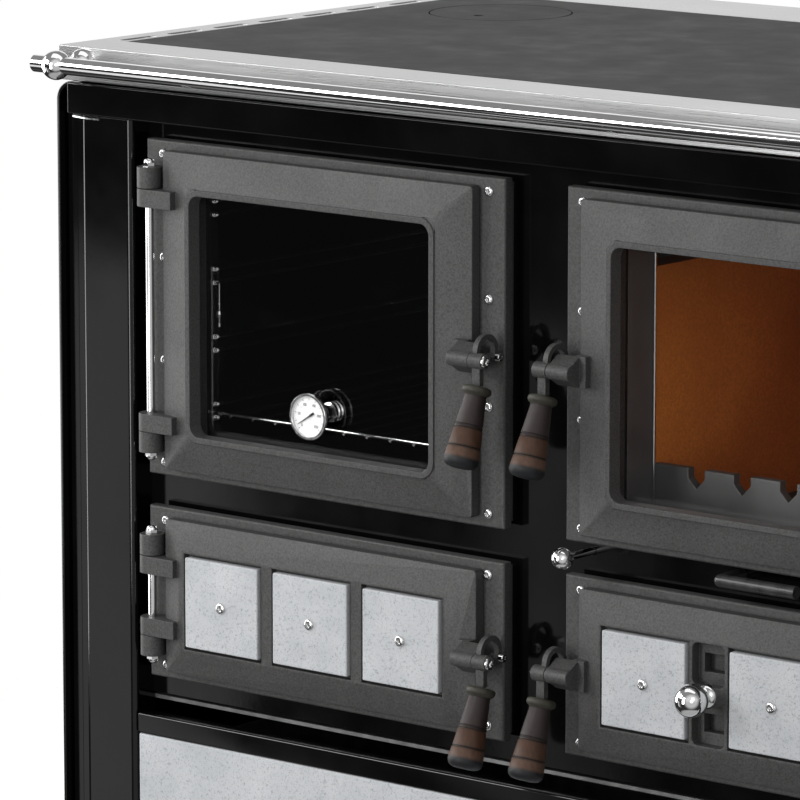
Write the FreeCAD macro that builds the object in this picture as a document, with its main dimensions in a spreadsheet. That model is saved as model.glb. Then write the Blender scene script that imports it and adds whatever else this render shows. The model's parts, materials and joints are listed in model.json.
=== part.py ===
"""Wood-fired cookstove with oven, warming compartment, firebox, ash drawer and wood drawer.

Millimetres. X runs to the right, Y to the back and Z up. The origin lies on the floor, in the
middle of the stove's overall box. "Front plane" means the front face of the cast door frames.
"""
import FreeCAD
import Part
import Sketcher
import math
import os

SIZES = {
    # Casing
    "body_width": 915, "hob_height": 850, "hob_depth": 600, "sheet": 3, "side_margin": 93.5,
    "post_width": 59.5, "side_setback": 4.5, "side_bend": 16, "side_flange": 25, "side_bottom": 20,
    "back_inset": 8, "plinth_height": 80, "plinth_inset": 45, "foot_height": 10, "foot_radius": 20,
    "stud_radius": 6, "foot_inset_x": 60, "foot_inset_y": 95, "pillar_recess": 11.4,
    "pillar_strip": 12.1, "pillar_face": 54.7, "pillar_proud": 5, "strip_setback": 4,
    "pillar_bend": 5, "fascia_proud": 7.8, "fascia_height": 21.1, "fascia_gap": 2,
    "fascia_lip": 4.6, "fascia_shelf": 30,
    # Hob
    "hob_edge": 28, "hob_top_thickness": 14, "hob_skirt": 14, "hob_overhang": 1, "plate_thickness": 10,
    "plate_side_strip": 28, "plate_front_strip": 51, "plate_rear_strip": 89, "plate_ledge": 10,
    "plate_gap": 1, "slot_length": 40, "slot_width": 7, "slot_pitch": 57, "slot_depth": 2,
    "slot_inset": 5, "cover_radius": 60, "cover_thickness": 6, "cover_ledge": 8, "cover_gap": 1,
    "cover_inset": 129, "cover_depth": 409, "cover_grip_radius": 4,
    # Rail
    "rail_radius": 7, "rail_drop": 11.8, "rail_reach": 31.6, "rail_inset": 3, "rail_ball_radius": 12,
    "rail_ball_inset": 25.6, "rail_post_radius": 5, "rosette_radius": 10.7,
    # Door frames
    "oven_frame_width": 366, "upper_frame_height": 272, "lower_frame_height": 141, "top_margin": 68,
    "frame_gap": 26, "frame_depth": 16, "flange_thickness": 9, "frame_step": 4, "border_width": 1.2,
    "border_depth": 1.2, "panel_lip": 18, "reveal": 12, "opening_radius": 9, "screw_inset": 15.5,
    "hinge_screw_inset": 18.3, "screw_margin": 11, "screw_radius": 4.2, "screw_height": 2.2,
    # Doors
    "door_clearance": 0.5, "leaf_edge": 9, "leaf_rise": 8, "hinge_margin": 25.5, "oven_latch_margin": 24.5,
    "lower_latch_margin": 20, "fire_latch_margin": 20.5, "leaf_top_margin": 7, "leaf_bottom_margin": 7.5,
    "leaf_corner": 3, "upper_bevel": 30.5, "upper_bevel_height": 27, "lower_bevel_side": 24,
    "lower_bevel_height": 21.5, "rim_width": 5, "bead_width": 5, "bead_height": 1.5, "glass_thickness": 4,
    "glass_lap": 8, "glass_pocket": 5, "gasket_width": 8, "gasket_inset": 14, "gasket_depth": 4,
    "gasket_clearance": 0.2,
    # Hinges
    "hinge_inset": 12.3, "hinge_stand": 10.5, "lug_radius": 10, "pin_radius": 3.4, "pin_clearance": 0.05,
    "frame_lug": 17, "door_lug": 14.5, "lug_gap": 0.4, "lug_inset": 20.5, "lug_web": 8, "lug_reach": 17.5,
    "nut_radius": 5.2, "nut_height": 7,
    # Handles
    "hub_stand": 28, "hub_radius": 6.2, "hub_length": 12.5, "hub_gap": 0.4, "boss_radius": 6.2,
    "boss_inside": 6.5, "boss_outside": 14.5, "boss_pad": 12, "boss_pad_half": 12, "boss_pad_proud": 1,
    "axle_radius": 3.5, "axle_length": 16, "arm_offset": 20.5, "arm_width": 7.5, "arm_thickness": 5,
    "arm_length": 20, "grip_tilt": 20, "grip_length": 63.7, "grip_top_radius": 8.5, "grip_radius": 14.5,
    "grip_collar_radius": 11.5, "grip_collar": 6, "grip_bell": 12, "grip_round": 8, "groove_depth": 0.8,
    "claw_radius": 13, "claw_width": 4, "claw_thickness": 4.5, "claw_offset": 16, "claw_gap": 3,
    "claw_up": 6, "claw_pin_radius": 2.6, "claw_pin_reach": 4, "upper_handle_drop": 137,
    "lower_handle_drop": 73,
    # Tiles and air control
    "tile_height": 73.5, "tile_gap": 2.5, "tile_thickness": 8, "tile_proud": 2, "tile_bridge": 5.5,
    "tile_screw_radius": 4.7, "tile_screw_height": 2, "air_slot_width": 30, "air_bridge": 14,
    "air_slot_depth": 9, "air_port_height": 14, "knob_radius": 13, "knob_neck_radius": 7,
    "knob_base_radius": 9.5, "knob_base": 6, "knob_stand": 21, "spindle_radius": 4,
    # Thermometer
    "dial_radius": 18.5, "dial_thickness": 8, "dial_stand": 5, "dial_rise": 30, "dial_recess": 2.4,
    "dial_rim": 2.3, "stem_radius": 3, "stem_length": 30, "needle_length": 13, "needle_width": 1,
    "needle_rest": 240,
    # Oven and lower compartments
    "box_sheet": 2, "oven_depth": 425, "wire_radius": 1.6, "thin_wire_radius": 1.2, "wire_clearance": 0.3,
    "support_levels": 4, "support_pitch": 55, "support_rise": 20, "support_gap": 11, "support_setback": 5,
    "rack_bars": 11, "rack_inset": 4, "rack_bar_inset": 14,
    # Firebox and ash compartment
    "fire_sheet": 3, "fire_depth": 430, "throat_depth": 33, "brick": 25, "brick_height": 205,
    "fire_floor_drop": 27, "fire_top_gap": 32, "grate_thickness": 10, "grate_lap": 6, "grate_border": 12,
    "grate_bar": 9, "grate_slot": 9, "grate_side_gap": 18, "grate_front_gap": 70, "grate_length": 250,
    "shaker_stroke": 30, "guard_thickness": 8, "guard_height": 54, "notch_width": 15, "notch_depth": 15,
    "notch_pitch": 42.8, "notch_count": 4, "pan_height": 68, "pan_gap": 4, "pan_length": 375,
    # Controls
    "shaker_radius": 5, "shaker_offset": 2.75, "shaker_bar": 69, "shaker_reach": 10, "control_drop": 9,
    "damper_radius": 3, "damper_inset": 14, "damper_ball_radius": 8.5, "damper_reach": 22,
    "damper_length": 130, "guide_clearance": 0.3,
    # Drawer
    "drawer_gap": 14, "drawer_proud": 5, "drawer_rim": 17, "drawer_sill": 8, "drawer_side_gap": 1.5,
    "drawer_base_gap": 9, "stone_thickness": 12, "stone_inset": 2, "drawer_sheet": 3, "drawer_depth": 500,
    "drawer_box_inset": 22, "drawer_box_drop": 26, "drawer_lift": 14, "runner_gap": 0.5,
    "runner_width": 24, "runner_height": 60,
    # Flue
    "collar_radius": 60, "collar_wall": 3, "collar_reach": 50, "collar_flange": 20, "collar_flange_depth": 4,
    "collar_drop": 140,
}

doc = FreeCAD.newDocument("Cookstove")
sheet = doc.addObject("Spreadsheet::Sheet", "Dims")
for row, (alias, number) in enumerate(SIZES.items(), start=1):
    sheet.set(f"A{row}", alias)
    sheet.set(f"B{row}", str(number))
    sheet.setAlias(f"B{row}", alias)
doc.recompute()


class Size:
    """A length or angle with the sheet expression that gives it."""

    def __init__(self, value, text):
        self.value = value
        self.text = text

    @staticmethod
    def of(item):
        return item if isinstance(item, Size) else Size(item, str(item))

    def join(self, other, sign, value):
        return Size(value, f"({self.text} {sign} {other.text})")

    def __add__(self, other):
        other = Size.of(other)
        return self.join(other, "+", self.value + other.value)

    def __radd__(self, other):
        return Size.of(other) + self

    def __sub__(self, other):
        other = Size.of(other)
        return self.join(other, "-", self.value - other.value)

    def __rsub__(self, other):
        return Size.of(other) - self

    def __mul__(self, other):
        other = Size.of(other)
        return self.join(other, "*", self.value * other.value)

    def __rmul__(self, other):
        return Size.of(other) * self

    def __truediv__(self, other):
        other = Size.of(other)
        return self.join(other, "/", self.value / other.value)

    def __neg__(self):
        return Size(-self.value, f"(0 - {self.text})")


def dim(name):
    return Size(float(sheet.get(name)), f"Dims.{name}")


def sine(angle):
    return Size(math.sin(math.radians(angle.value)), f"sin({angle.text})")


def cosine(angle):
    return Size(math.cos(math.radians(angle.value)), f"cos({angle.text})")


def bind(item, prop, size):
    item.setExpression(prop, Size.of(size).text)


def place(item, x, y, z, rotation=FreeCAD.Rotation()):
    """Gives an item its turn and ties its base point to the sheet."""
    spot = [Size.of(value) for value in (x, y, z)]
    item.Placement = FreeCAD.Placement(FreeCAD.Vector(*[s.value for s in spot]), rotation)
    for axis, size in zip("xyz", spot):
        bind(item, f"Placement.Base.{axis}", size)
    return item


def box(x0, x1, y0, y1, z0, z1):
    item = doc.addObject("Part::Box", "Block")
    bind(item, "Length", Size.of(x1) - x0)
    bind(item, "Width", Size.of(y1) - y0)
    bind(item, "Height", Size.of(z1) - z0)
    return place(item, x0, y0, z0)


AXIS_TURN = {
    "X": FreeCAD.Rotation(FreeCAD.Vector(0, 1, 0), 90),
    "Y": FreeCAD.Rotation(FreeCAD.Vector(1, 0, 0), -90),
    "Z": FreeCAD.Rotation(),
}


def along(axis, start, across):
    """Point at `start` on a line along `axis`; `across` holds its other two coordinates in order."""
    spot = list(across)
    spot.insert("XYZ".index(axis), start)
    return spot


def rod(axis, start, end, across, radius):
    item = doc.addObject("Part::Cylinder", "Rod")
    bind(item, "Radius", radius)
    bind(item, "Height", Size.of(end) - start)
    return place(item, *along(axis, start, across), AXIS_TURN[axis])


def taper(axis, start, end, across, start_radius, end_radius):
    item = doc.addObject("Part::Cone", "Taper")
    bind(item, "Radius1", start_radius)
    bind(item, "Radius2", end_radius)
    bind(item, "Height", Size.of(end) - start)
    return place(item, *along(axis, start, across), AXIS_TURN[axis])


def diamond(y, x, z, radius):
    """Square bar along Y, standing on one of its edges."""
    item = doc.addObject("Part::Prism", "Diamond")
    item.Polygon = 4
    bind(item, "Circumradius", radius)
    bind(item, "Height", y[1] - y[0])
    return place(item, x, y[0], z, AXIS_TURN["Y"])


def ball(x, y, z, radius):
    item = doc.addObject("Part::Sphere", "Ball")
    bind(item, "Radius", radius)
    return place(item, x, y, z)


def fuse(items):
    item = doc.addObject("Part::MultiFuse", "Joined")
    item.Shapes = items
    item.Refine = True
    return item


def cut(base, tools):
    item = doc.addObject("Part::Cut", "Trimmed")
    item.Base = base
    item.Tool = tools[0] if len(tools) == 1 else fuse(tools)
    item.Refine = True
    return item


def overlap(base, tool):
    item = doc.addObject("Part::Common", "Kept")
    item.Base = base
    item.Tool = tool
    item.Refine = True
    return item


def bevel_block(x, y, z, inset_x, inset_z):
    """Frustum between y[1] (full size, at the back) and y[0] (inset on every side, at the front)."""
    item = doc.addObject("Part::Wedge", "Bevel")
    values = {
        "Xmin": x[0] + inset_x, "Xmax": x[1] - inset_x, "Zmin": z[0] + inset_z, "Zmax": z[1] - inset_z,
        "X2min": x[0], "X2max": x[1], "Z2min": z[0], "Z2max": z[1], "Ymin": y[0], "Ymax": y[1],
    }
    for prop, size in values.items():
        setattr(item, prop, size.value)
    for prop, size in values.items():
        bind(item, prop, size)
    return item


def rounded_block(x, y, z, radius):
    """Block whose four edges along Y are rounded."""
    parts = [
        box(x[0] + radius, x[1] - radius, y[0], y[1], z[0], z[1]),
        box(x[0], x[1], y[0], y[1], z[0] + radius, z[1] - radius),
    ]
    for corner_x in (x[0] + radius, x[1] - radius):
        for corner_z in (z[0] + radius, z[1] - radius):
            parts.append(rod("Y", y[0], y[1], (corner_x, corner_z), radius))
    return fuse(parts)


def grow(span, amount):
    return (span[0] - amount, span[1] + amount)


def shell(x, y, z, wall, open_sides):
    """Thin-walled box given by its inner spans; `open_sides` names the faces left out."""
    outer = {"left": x[0] - wall, "right": x[1] + wall, "front": y[0] - wall, "back": y[1] + wall,
             "bottom": z[0] - wall, "top": z[1] + wall}
    inner = {"left": x[0], "right": x[1], "front": y[0], "back": y[1], "bottom": z[0], "top": z[1]}
    for side in open_sides:
        outer[side] = inner[side]
        inner[side] = inner[side] + wall if side in ("right", "back", "top") else inner[side] - wall
    sides = ("left", "right", "front", "back", "bottom", "top")
    return cut(box(*[outer[side] for side in sides]), [box(*[inner[side] for side in sides])])


# Sketched bodies

def body(name):
    return doc.addObject("PartDesign::Body", name)


def polygon(owner, plane, level, points):
    """Closed outline on one of the body's origin planes, moved `level` along the plane's normal."""
    sketch = owner.newObject("Sketcher::SketchObject", "Outline")
    origin = next(item for item in owner.Origin.OriginFeatures if item.Role == plane)
    sketch.AttachmentSupport = (origin, [""])
    sketch.MapMode = "FlatFace"
    bind(sketch, "AttachmentOffset.Base.z", level)
    corners = [(Size.of(u), Size.of(v)) for u, v in points]
    vectors = [FreeCAD.Vector(u.value, v.value, 0) for u, v in corners]
    count = len(corners)
    for index, vector in enumerate(vectors):
        sketch.addGeometry(Part.LineSegment(vector, vectors[(index + 1) % count]), False)
    for index in range(count):
        sketch.addConstraint(Sketcher.Constraint("Coincident", index, 2, (index + 1) % count, 1))
    for index, corner in enumerate(corners):
        for kind, axis, size in (("DistanceX", -2, corner[0]), ("DistanceY", -1, corner[1])):
            if size.text == "0":
                sketch.addConstraint(Sketcher.Constraint("PointOnObject", index, 1, axis))
            else:
                number = sketch.addConstraint(Sketcher.Constraint(kind, -1, 1, index, 1, size.value))
                bind(sketch, f"Constraints[{number}]", size)
    return sketch


def pad(owner, sketch, length):
    item = owner.newObject("PartDesign::Pad", "Pad")
    item.Profile = sketch
    bind(item, "Length", length)
    owner.Tip = item
    doc.recompute()
    return item


def turn(owner, points):
    """Solid of revolution about the body's own Z axis from an outline of (radius, height)."""
    sketch = polygon(owner, "XZ_Plane", 0, points)
    item = owner.newObject("PartDesign::Revolution", "Turned")
    item.Profile = sketch
    item.ReferenceAxis = (sketch, ["V_Axis"])
    item.Angle = 360
    owner.Tip = item
    doc.recompute()
    return item


def fillet(owner, base, radius, wanted):
    """Rounds the edges of `base` for which `wanted` is true."""
    names = [f"Edge{i}" for i, edge in enumerate(base.Shape.Edges, start=1) if wanted(edge)]
    item = owner.newObject("PartDesign::Fillet", "Round")
    item.Base = (base, names)
    bind(item, "Radius", radius)
    owner.Tip = item
    doc.recompute()
    return item


def upright_at(points):
    """Chooser for edges along Z that stand at any of the given (x, y) points."""
    def wanted(edge):
        middle = edge.BoundBox.Center
        tall = edge.BoundBox.ZLength > max(edge.BoundBox.XLength, edge.BoundBox.YLength)
        return tall and any(math.hypot(middle.x - x.value, middle.y - y.value) < 0.01 for x, y in points)
    return wanted


def lengthwise_at(points):
    """Chooser for edges along Y that lie at any of the given (x, z) points."""
    def wanted(edge):
        middle = edge.BoundBox.Center
        level = edge.BoundBox.YLength > max(edge.BoundBox.XLength, edge.BoundBox.ZLength)
        return level and any(math.hypot(middle.x - x.value, middle.z - z.value) < 0.01 for x, z in points)
    return wanted


def ring_at(height, radius):
    """Chooser for a circular edge about Z at a given height and radius."""
    def wanted(edge):
        round_edge = hasattr(edge.Curve, "Radius") and abs(edge.Curve.Radius - radius.value) < 0.01
        return round_edge and abs(edge.BoundBox.Center.z - height.value) < 0.01
    return wanted


NODES = {}


def node(name, items):
    """Names a sub-part; several solids of one kind are kept together as a group."""
    if isinstance(items, list):
        item = doc.addObject("Part::Compound", name)
        item.Links = items
    else:
        item = items
    item.Label = name
    NODES[name] = item


# Overall places

half = dim("body_width") / 2
tilt = dim("grip_tilt")
front_reach = (dim("hub_stand") + (dim("grip_length") - dim("grip_round")) * sine(tilt)
               + (dim("grip_radius") - dim("grip_round")) * cosine(tilt) + dim("grip_round"))
front = (front_reach - dim("hob_depth") - dim("collar_reach")) / 2


def depth(distance):
    """Y of a plane `distance` behind the front plane."""
    return front + distance


sheet_wall = dim("sheet")
hob_bottom = dim("hob_height") - dim("hob_edge")
upper_top = dim("hob_height") - dim("top_margin")
upper_bottom = upper_top - dim("upper_frame_height")
lower_top = upper_bottom - dim("frame_gap")
lower_bottom = lower_top - dim("lower_frame_height")
panel_bottom = lower_bottom - dim("panel_lip")
drawer_top = panel_bottom - dim("drawer_gap")
base_top = dim("plinth_height") + sheet_wall
side_inner = half - sheet_wall
strip_outer = side_inner - dim("pillar_recess")
pillar_outer = strip_outer - dim("pillar_strip")
pillar_inner = pillar_outer - dim("pillar_face")
panel_front = depth(dim("frame_depth"))
panel_back = panel_front + sheet_wall
casing_back = depth(dim("hob_depth") - dim("back_inset"))
fascia_top = hob_bottom - sheet_wall - dim("fascia_gap")
fascia_bottom = fascia_top - dim("fascia_height")
control_height = upper_bottom - dim("control_drop")

oven_left = -half + dim("side_margin")
oven_right = oven_left + dim("oven_frame_width")
fire_left = oven_right + dim("post_width")
fire_right = half - dim("side_margin")
cover_x = -half + dim("cover_inset")
shaker_x = (fire_left + fire_right) / 2 + dim("shaker_offset")
damper_x = fire_left + dim("damper_inset")


class Door:
    """Places that a frame, its leaf and its handle share. `latch` is +1 when the latch is on the right."""

    def __init__(self, name, x, z, latch, latch_margin, bevel_x, bevel_z, handle_drop):
        self.name = name
        self.frame_x = x
        self.frame_z = z
        self.latch = latch
        self.bevel_x = bevel_x
        self.bevel_z = bevel_z
        margins = (dim("hinge_margin"), latch_margin)
        left, right = margins if latch > 0 else margins[::-1]
        self.leaf_x = (x[0] + left, x[1] - right)
        self.leaf_z = (z[0] + dim("leaf_bottom_margin"), z[1] - dim("leaf_top_margin"))
        self.leaf_back = depth(-dim("door_clearance"))
        self.leaf_step = self.leaf_back - dim("leaf_edge")
        self.leaf_front = self.leaf_step - dim("leaf_rise")
        inset = dim("rim_width")
        self.window_x = grow(self.leaf_x, -bevel_x - inset)
        self.window_z = grow(self.leaf_z, -bevel_z - inset)
        self.handle_z = z[1] - handle_drop
        self.handle_y = depth(-dim("hub_stand"))
        self.latch_x = self.leaf_x[1] if latch > 0 else self.leaf_x[0]
        hinge_edge = x[0] if latch > 0 else x[1]
        self.hinge_x = hinge_edge + latch * dim("hinge_inset")
        self.hinge_y = depth(-dim("hinge_stand"))

    def opening(self):
        if self.name in ("oven", "fire"):
            return grow(self.window_x, dim("reveal")), grow(self.window_z, dim("reveal"))
        inset = dim("gasket_inset") + dim("gasket_width") - dim("reveal") + dim("bead_width")
        return grow(self.leaf_x, -inset), grow(self.leaf_z, -inset)

    def lug_spans(self):
        """Heights of the frame lugs and of the leaf lugs, upper and lower."""
        low = self.frame_z[0] + dim("lug_inset")
        high = self.frame_z[1] - dim("lug_inset")
        frame_lugs = ((low, low + dim("frame_lug")), (high - dim("frame_lug"), high))
        leaf_low = low + dim("frame_lug") + dim("lug_gap")
        leaf_high = high - dim("frame_lug") - dim("lug_gap")
        leaf_lugs = ((leaf_low, leaf_low + dim("door_lug")), (leaf_high - dim("door_lug"), leaf_high))
        return frame_lugs, leaf_lugs

    def along_latch(self, near, far):
        """X span measured outwards from the leaf's latch edge."""
        ends = (self.latch_x + self.latch * Size.of(near), self.latch_x + self.latch * Size.of(far))
        return ends if self.latch > 0 else (ends[1], ends[0])


upper_bevels = (dim("upper_bevel"), dim("upper_bevel_height"))
lower_bevels = (dim("lower_bevel_side"), dim("lower_bevel_height"))
OVEN = Door("oven", (oven_left, oven_right), (upper_bottom, upper_top), 1, dim("oven_latch_margin"),
            *upper_bevels, dim("upper_handle_drop"))
WARM = Door("lower", (oven_left, oven_right), (lower_bottom, lower_top), 1, dim("lower_latch_margin"),
            *lower_bevels, dim("lower_handle_drop"))
FIRE = Door("fire", (fire_left, fire_right), (upper_bottom, upper_top), -1, dim("fire_latch_margin"),
            *upper_bevels, dim("upper_handle_drop"))
ASH = Door("ash", (fire_left, fire_right), (lower_bottom, lower_top), -1, dim("fire_latch_margin"),
           *lower_bevels, dim("lower_handle_drop"))
DOORS = (OVEN, WARM, FIRE, ASH)


# Casing

def side_panel(name, side):
    """Upright sheet bent inwards at the top; the bend is rounded inside and out."""
    def x(inset):
        return side * (half - inset)

    flange = dim("side_flange")
    outline = [
        (x(Size.of(0)), dim("side_bottom")), (x(Size.of(0)), hob_bottom), (x(flange), hob_bottom),
        (x(flange), hob_bottom - sheet_wall), (x(sheet_wall), hob_bottom - sheet_wall),
        (x(sheet_wall), dim("side_bottom")),
    ]
    panel = body(name)
    sketch = polygon(panel, "XZ_Plane", -casing_back, outline)
    blank = pad(panel, sketch, casing_back - depth(-dim("side_setback")))
    outer = fillet(panel, blank, dim("side_bend"), lengthwise_at([outline[1]]))
    fillet(panel, outer, dim("side_bend") - sheet_wall, lengthwise_at([outline[4]]))
    return panel


def corner_pillar(name, side):
    """Folded post: a recessed strip beside the casing, a proud face and a return to the front panel."""
    face = depth(-dim("pillar_proud"))
    strip = depth(dim("strip_setback"))
    return_x = side * (pillar_inner + sheet_wall)
    fold_x = side * (pillar_outer - sheet_wall)
    outline = [
        (side * strip_outer, strip), (side * pillar_outer, strip), (side * pillar_outer, face),
        (side * pillar_inner, face), (side * pillar_inner, panel_back), (return_x, panel_back),
        (return_x, face + sheet_wall), (fold_x, face + sheet_wall), (fold_x, strip + sheet_wall),
        (side * strip_outer, strip + sheet_wall),
    ]
    post = body(name)
    sketch = polygon(post, "XY_Plane", base_top, outline)
    blank = pad(post, sketch, fascia_bottom - base_top)
    fillet(post, blank, dim("pillar_bend"), upright_at([outline[2], outline[3]]))
    return post


def fascia():
    """Folded band under the hob with a shelf at its top and bottom and a lip that hides the joint."""
    face = depth(-dim("fascia_proud"))
    shelf_back = depth(dim("fascia_shelf"))
    outline = [
        (face, fascia_bottom), (panel_front, fascia_bottom), (panel_front, fascia_bottom + sheet_wall),
        (face + sheet_wall, fascia_bottom + sheet_wall), (face + sheet_wall, fascia_top - sheet_wall),
        (shelf_back, fascia_top - sheet_wall), (shelf_back, fascia_top), (face + sheet_wall, fascia_top),
        (face + sheet_wall, fascia_top + dim("fascia_lip")), (face, fascia_top + dim("fascia_lip")),
    ]
    band = body("top_fascia")
    pad(band, polygon(band, "YZ_Plane", -strip_outer, outline), strip_outer * 2)
    return band


def base_tray():
    """Floor of the casing with the recessed plinth folded down from it."""
    inset = depth(dim("plinth_inset"))
    floor = box(-side_inner, side_inner, panel_front, casing_back, dim("plinth_height"), base_top)
    plinth = box(-side_inner, side_inner, inset, inset + sheet_wall, dim("side_bottom"), dim("plinth_height"))
    return fuse([floor, plinth])


def levelling_feet():
    feet = []
    foot_x = half - dim("foot_inset_x")
    for x in (-foot_x, foot_x):
        for y in (depth(dim("foot_inset_y")), casing_back - dim("foot_inset_y")):
            pad_disc = rod("Z", 0, dim("foot_height"), (x, y), dim("foot_radius"))
            stud = rod("Z", dim("foot_height"), dim("plinth_height"), (x, y), dim("stud_radius"))
            feet.append(fuse([pad_disc, stud]))
    return feet


def front_panel():
    """Enamelled sheet behind the door frames, with the door openings and the control holes."""
    blank = box(-pillar_inner, pillar_inner, panel_front, panel_back, panel_bottom, fascia_bottom)
    through = grow((panel_front, panel_back), sheet_wall)
    tools = []
    for door in DOORS:
        x, z = door.opening()
        tools.append(rounded_block(x, through, z, dim("opening_radius")))
    for x, radius in ((shaker_x, dim("shaker_radius")), (damper_x, dim("damper_radius"))):
        tools.append(rod("Y", *through, (x, control_height), radius + dim("guide_clearance")))
    return cut(blank, tools)


def build_casing():
    node("side_panels", [side_panel("left_side", -1), side_panel("right_side", 1)])
    node("corner_pillars", [corner_pillar("left_pillar", -1), corner_pillar("right_pillar", 1)])
    node("top_fascia", fascia())
    node("base_tray", base_tray())
    node("levelling_feet", levelling_feet())
    node("front_panel", front_panel())
    mid_top = panel_bottom - sheet_wall
    node("mid_plate", box(-side_inner, side_inner, panel_back, casing_back, mid_top - sheet_wall, mid_top))
    back = box(-side_inner, side_inner, casing_back, casing_back + sheet_wall, dim("plinth_height"),
               fascia_top)
    bore = dim("collar_radius") - dim("collar_wall")
    hole = rod("Y", casing_back - 1, casing_back + sheet_wall + 1, (cover_x, flue_height), bore)
    node("back_panel", cut(back, [hole]))


flue_height = dim("hob_height") - dim("collar_drop")


def flue_collar():
    """Spigot on the back for the smoke pipe."""
    back = casing_back + sheet_wall
    end = depth(dim("hob_depth") + dim("collar_reach"))
    centre = (cover_x, flue_height)
    tube = rod("Y", back, end, centre, dim("collar_radius"))
    flange_radius = dim("collar_radius") + dim("collar_flange")
    flange = rod("Y", back, back + dim("collar_flange_depth"), centre, flange_radius)
    bore = rod("Y", back - 1, end + 1, centre, dim("collar_radius") - dim("collar_wall"))
    return cut(fuse([tube, flange]), [bore])


# Hob and rail

hob_half = half + dim("hob_overhang")
plate_x = (-hob_half + dim("plate_side_strip"), hob_half - dim("plate_side_strip"))
plate_y = (depth(dim("plate_front_strip")), depth(dim("hob_depth") - dim("plate_rear_strip")))
plate_bottom = dim("hob_height") - dim("plate_thickness")
cover_spot = (cover_x, depth(dim("cover_depth")))


def hob_frame():
    """Stainless surround: skirted top with a rebate for the plate and slots beside it."""
    top = dim("hob_height")
    outer_y = (depth(Size.of(0)), depth(dim("hob_depth")))
    blank = box(-hob_half, hob_half, *outer_y, hob_bottom, top)
    skirt = dim("hob_skirt")
    hollow = box(-hob_half + skirt, hob_half - skirt, outer_y[0] + skirt, outer_y[1] - skirt,
                 hob_bottom - 1, top - dim("hob_top_thickness"))
    rebate = box(*plate_x, *plate_y, plate_bottom, top + 1)
    ledge_x = grow(plate_x, -dim("plate_ledge"))
    ledge_y = grow(plate_y, -dim("plate_ledge"))
    throat = box(*ledge_x, *ledge_y, hob_bottom - 1, top + 1)
    tools = [fuse([hollow, rebate, throat])]
    room = plate_y[1].value - plate_y[0].value
    count = int((room - SIZES["slot_length"]) // SIZES["slot_pitch"]) + 1
    width = dim("slot_width")
    for side in (-1, 1):
        centre_x = side * (hob_half - dim("plate_side_strip") + dim("slot_inset") + width / 2)
        for index in range(count):
            start = plate_y[0] + index * dim("slot_pitch") + dim("slot_width")
            stop = start + dim("slot_length") - width
            z = (top - dim("slot_depth"), top + 1)
            ends = [rod("Z", *z, (centre_x, y), width / 2) for y in (start, stop)]
            middle = box(centre_x - width / 2, centre_x + width / 2, start, stop, *z)
            tools.append(fuse([*ends, middle]))
    trimmed = doc.addObject("Part::Cut", "Trimmed")
    trimmed.Base = blank
    trimmed.Tool = doc.addObject("Part::Compound", "Recesses")
    trimmed.Tool.Links = tools
    return trimmed


def hob_plate():
    """Cooking plate with a stepped hole for the flue cover."""
    gap = dim("plate_gap")
    top = dim("hob_height")
    blank = box(*grow(plate_x, -gap), *grow(plate_y, -gap), plate_bottom, top)
    seat = rod("Z", top - dim("cover_thickness"), top + 1, cover_spot, dim("cover_radius") + dim("cover_gap"))
    hole = rod("Z", plate_bottom - 1, top, cover_spot, dim("cover_radius") - dim("cover_ledge"))
    return cut(blank, [seat, hole])


def flue_cover():
    """Lift-off disc with a small lifting hole."""
    top = dim("hob_height")
    disc = rod("Z", top - dim("cover_thickness"), top, cover_spot, dim("cover_radius"))
    grip_spot = (cover_spot[0], cover_spot[1] - dim("cover_radius") / 2)
    grip_hole = rod("Z", top - dim("cover_thickness") / 2, top + 1, grip_spot, dim("cover_grip_radius"))
    return cut(disc, [grip_hole])


rail_centre = (depth(-dim("rail_reach")), dim("hob_height") - dim("rail_drop"))


def rail_bracket(side):
    """Ball clamped round the rail, on a post that stands on a domed rosette."""
    x = side * (half - dim("rail_ball_inset"))
    y, z = rail_centre
    face = depth(Size.of(0))
    knob = ball(x, y, z, dim("rail_ball_radius"))
    post = rod("Y", y, face, (x, z), dim("rail_post_radius"))
    radius = dim("rosette_radius")
    ahead = box(*grow((x, x), radius), face - radius, face, *grow((z, z), radius))
    dome = overlap(ball(x, face, z, radius), ahead)
    reach = dim("rail_ball_radius") + 1
    bore = rod("X", x - reach, x + reach, rail_centre, dim("rail_radius") + dim("pin_clearance"))
    return cut(fuse([knob, post, dome]), [bore])


def build_hob():
    node("hob_frame", hob_frame())
    node("hob_plate", hob_plate())
    node("flue_cover", flue_cover())
    end = half - dim("rail_inset")
    node("hob_rail", rod("X", -end, end, rail_centre, dim("rail_radius")))
    node("rail_brackets", [rail_bracket(-1), rail_bracket(1)])
    node("flue_collar", flue_collar())


# Door frames and hinges

def lug(door, span, inner_y):
    """Hinge barrel with a web that reaches from the hinge line to `inner_y`."""
    barrel = rod("Z", *span, (door.hinge_x, door.hinge_y), dim("lug_radius"))
    web_x = grow((door.hinge_x, door.hinge_x), dim("lug_web"))
    return [barrel, box(*web_x, door.hinge_y, inner_y, *span)]


def pin_hole(door):
    radius = dim("pin_radius") + dim("pin_clearance")
    return rod("Z", door.frame_z[0], door.frame_z[1], (door.hinge_x, door.hinge_y), radius)


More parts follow.
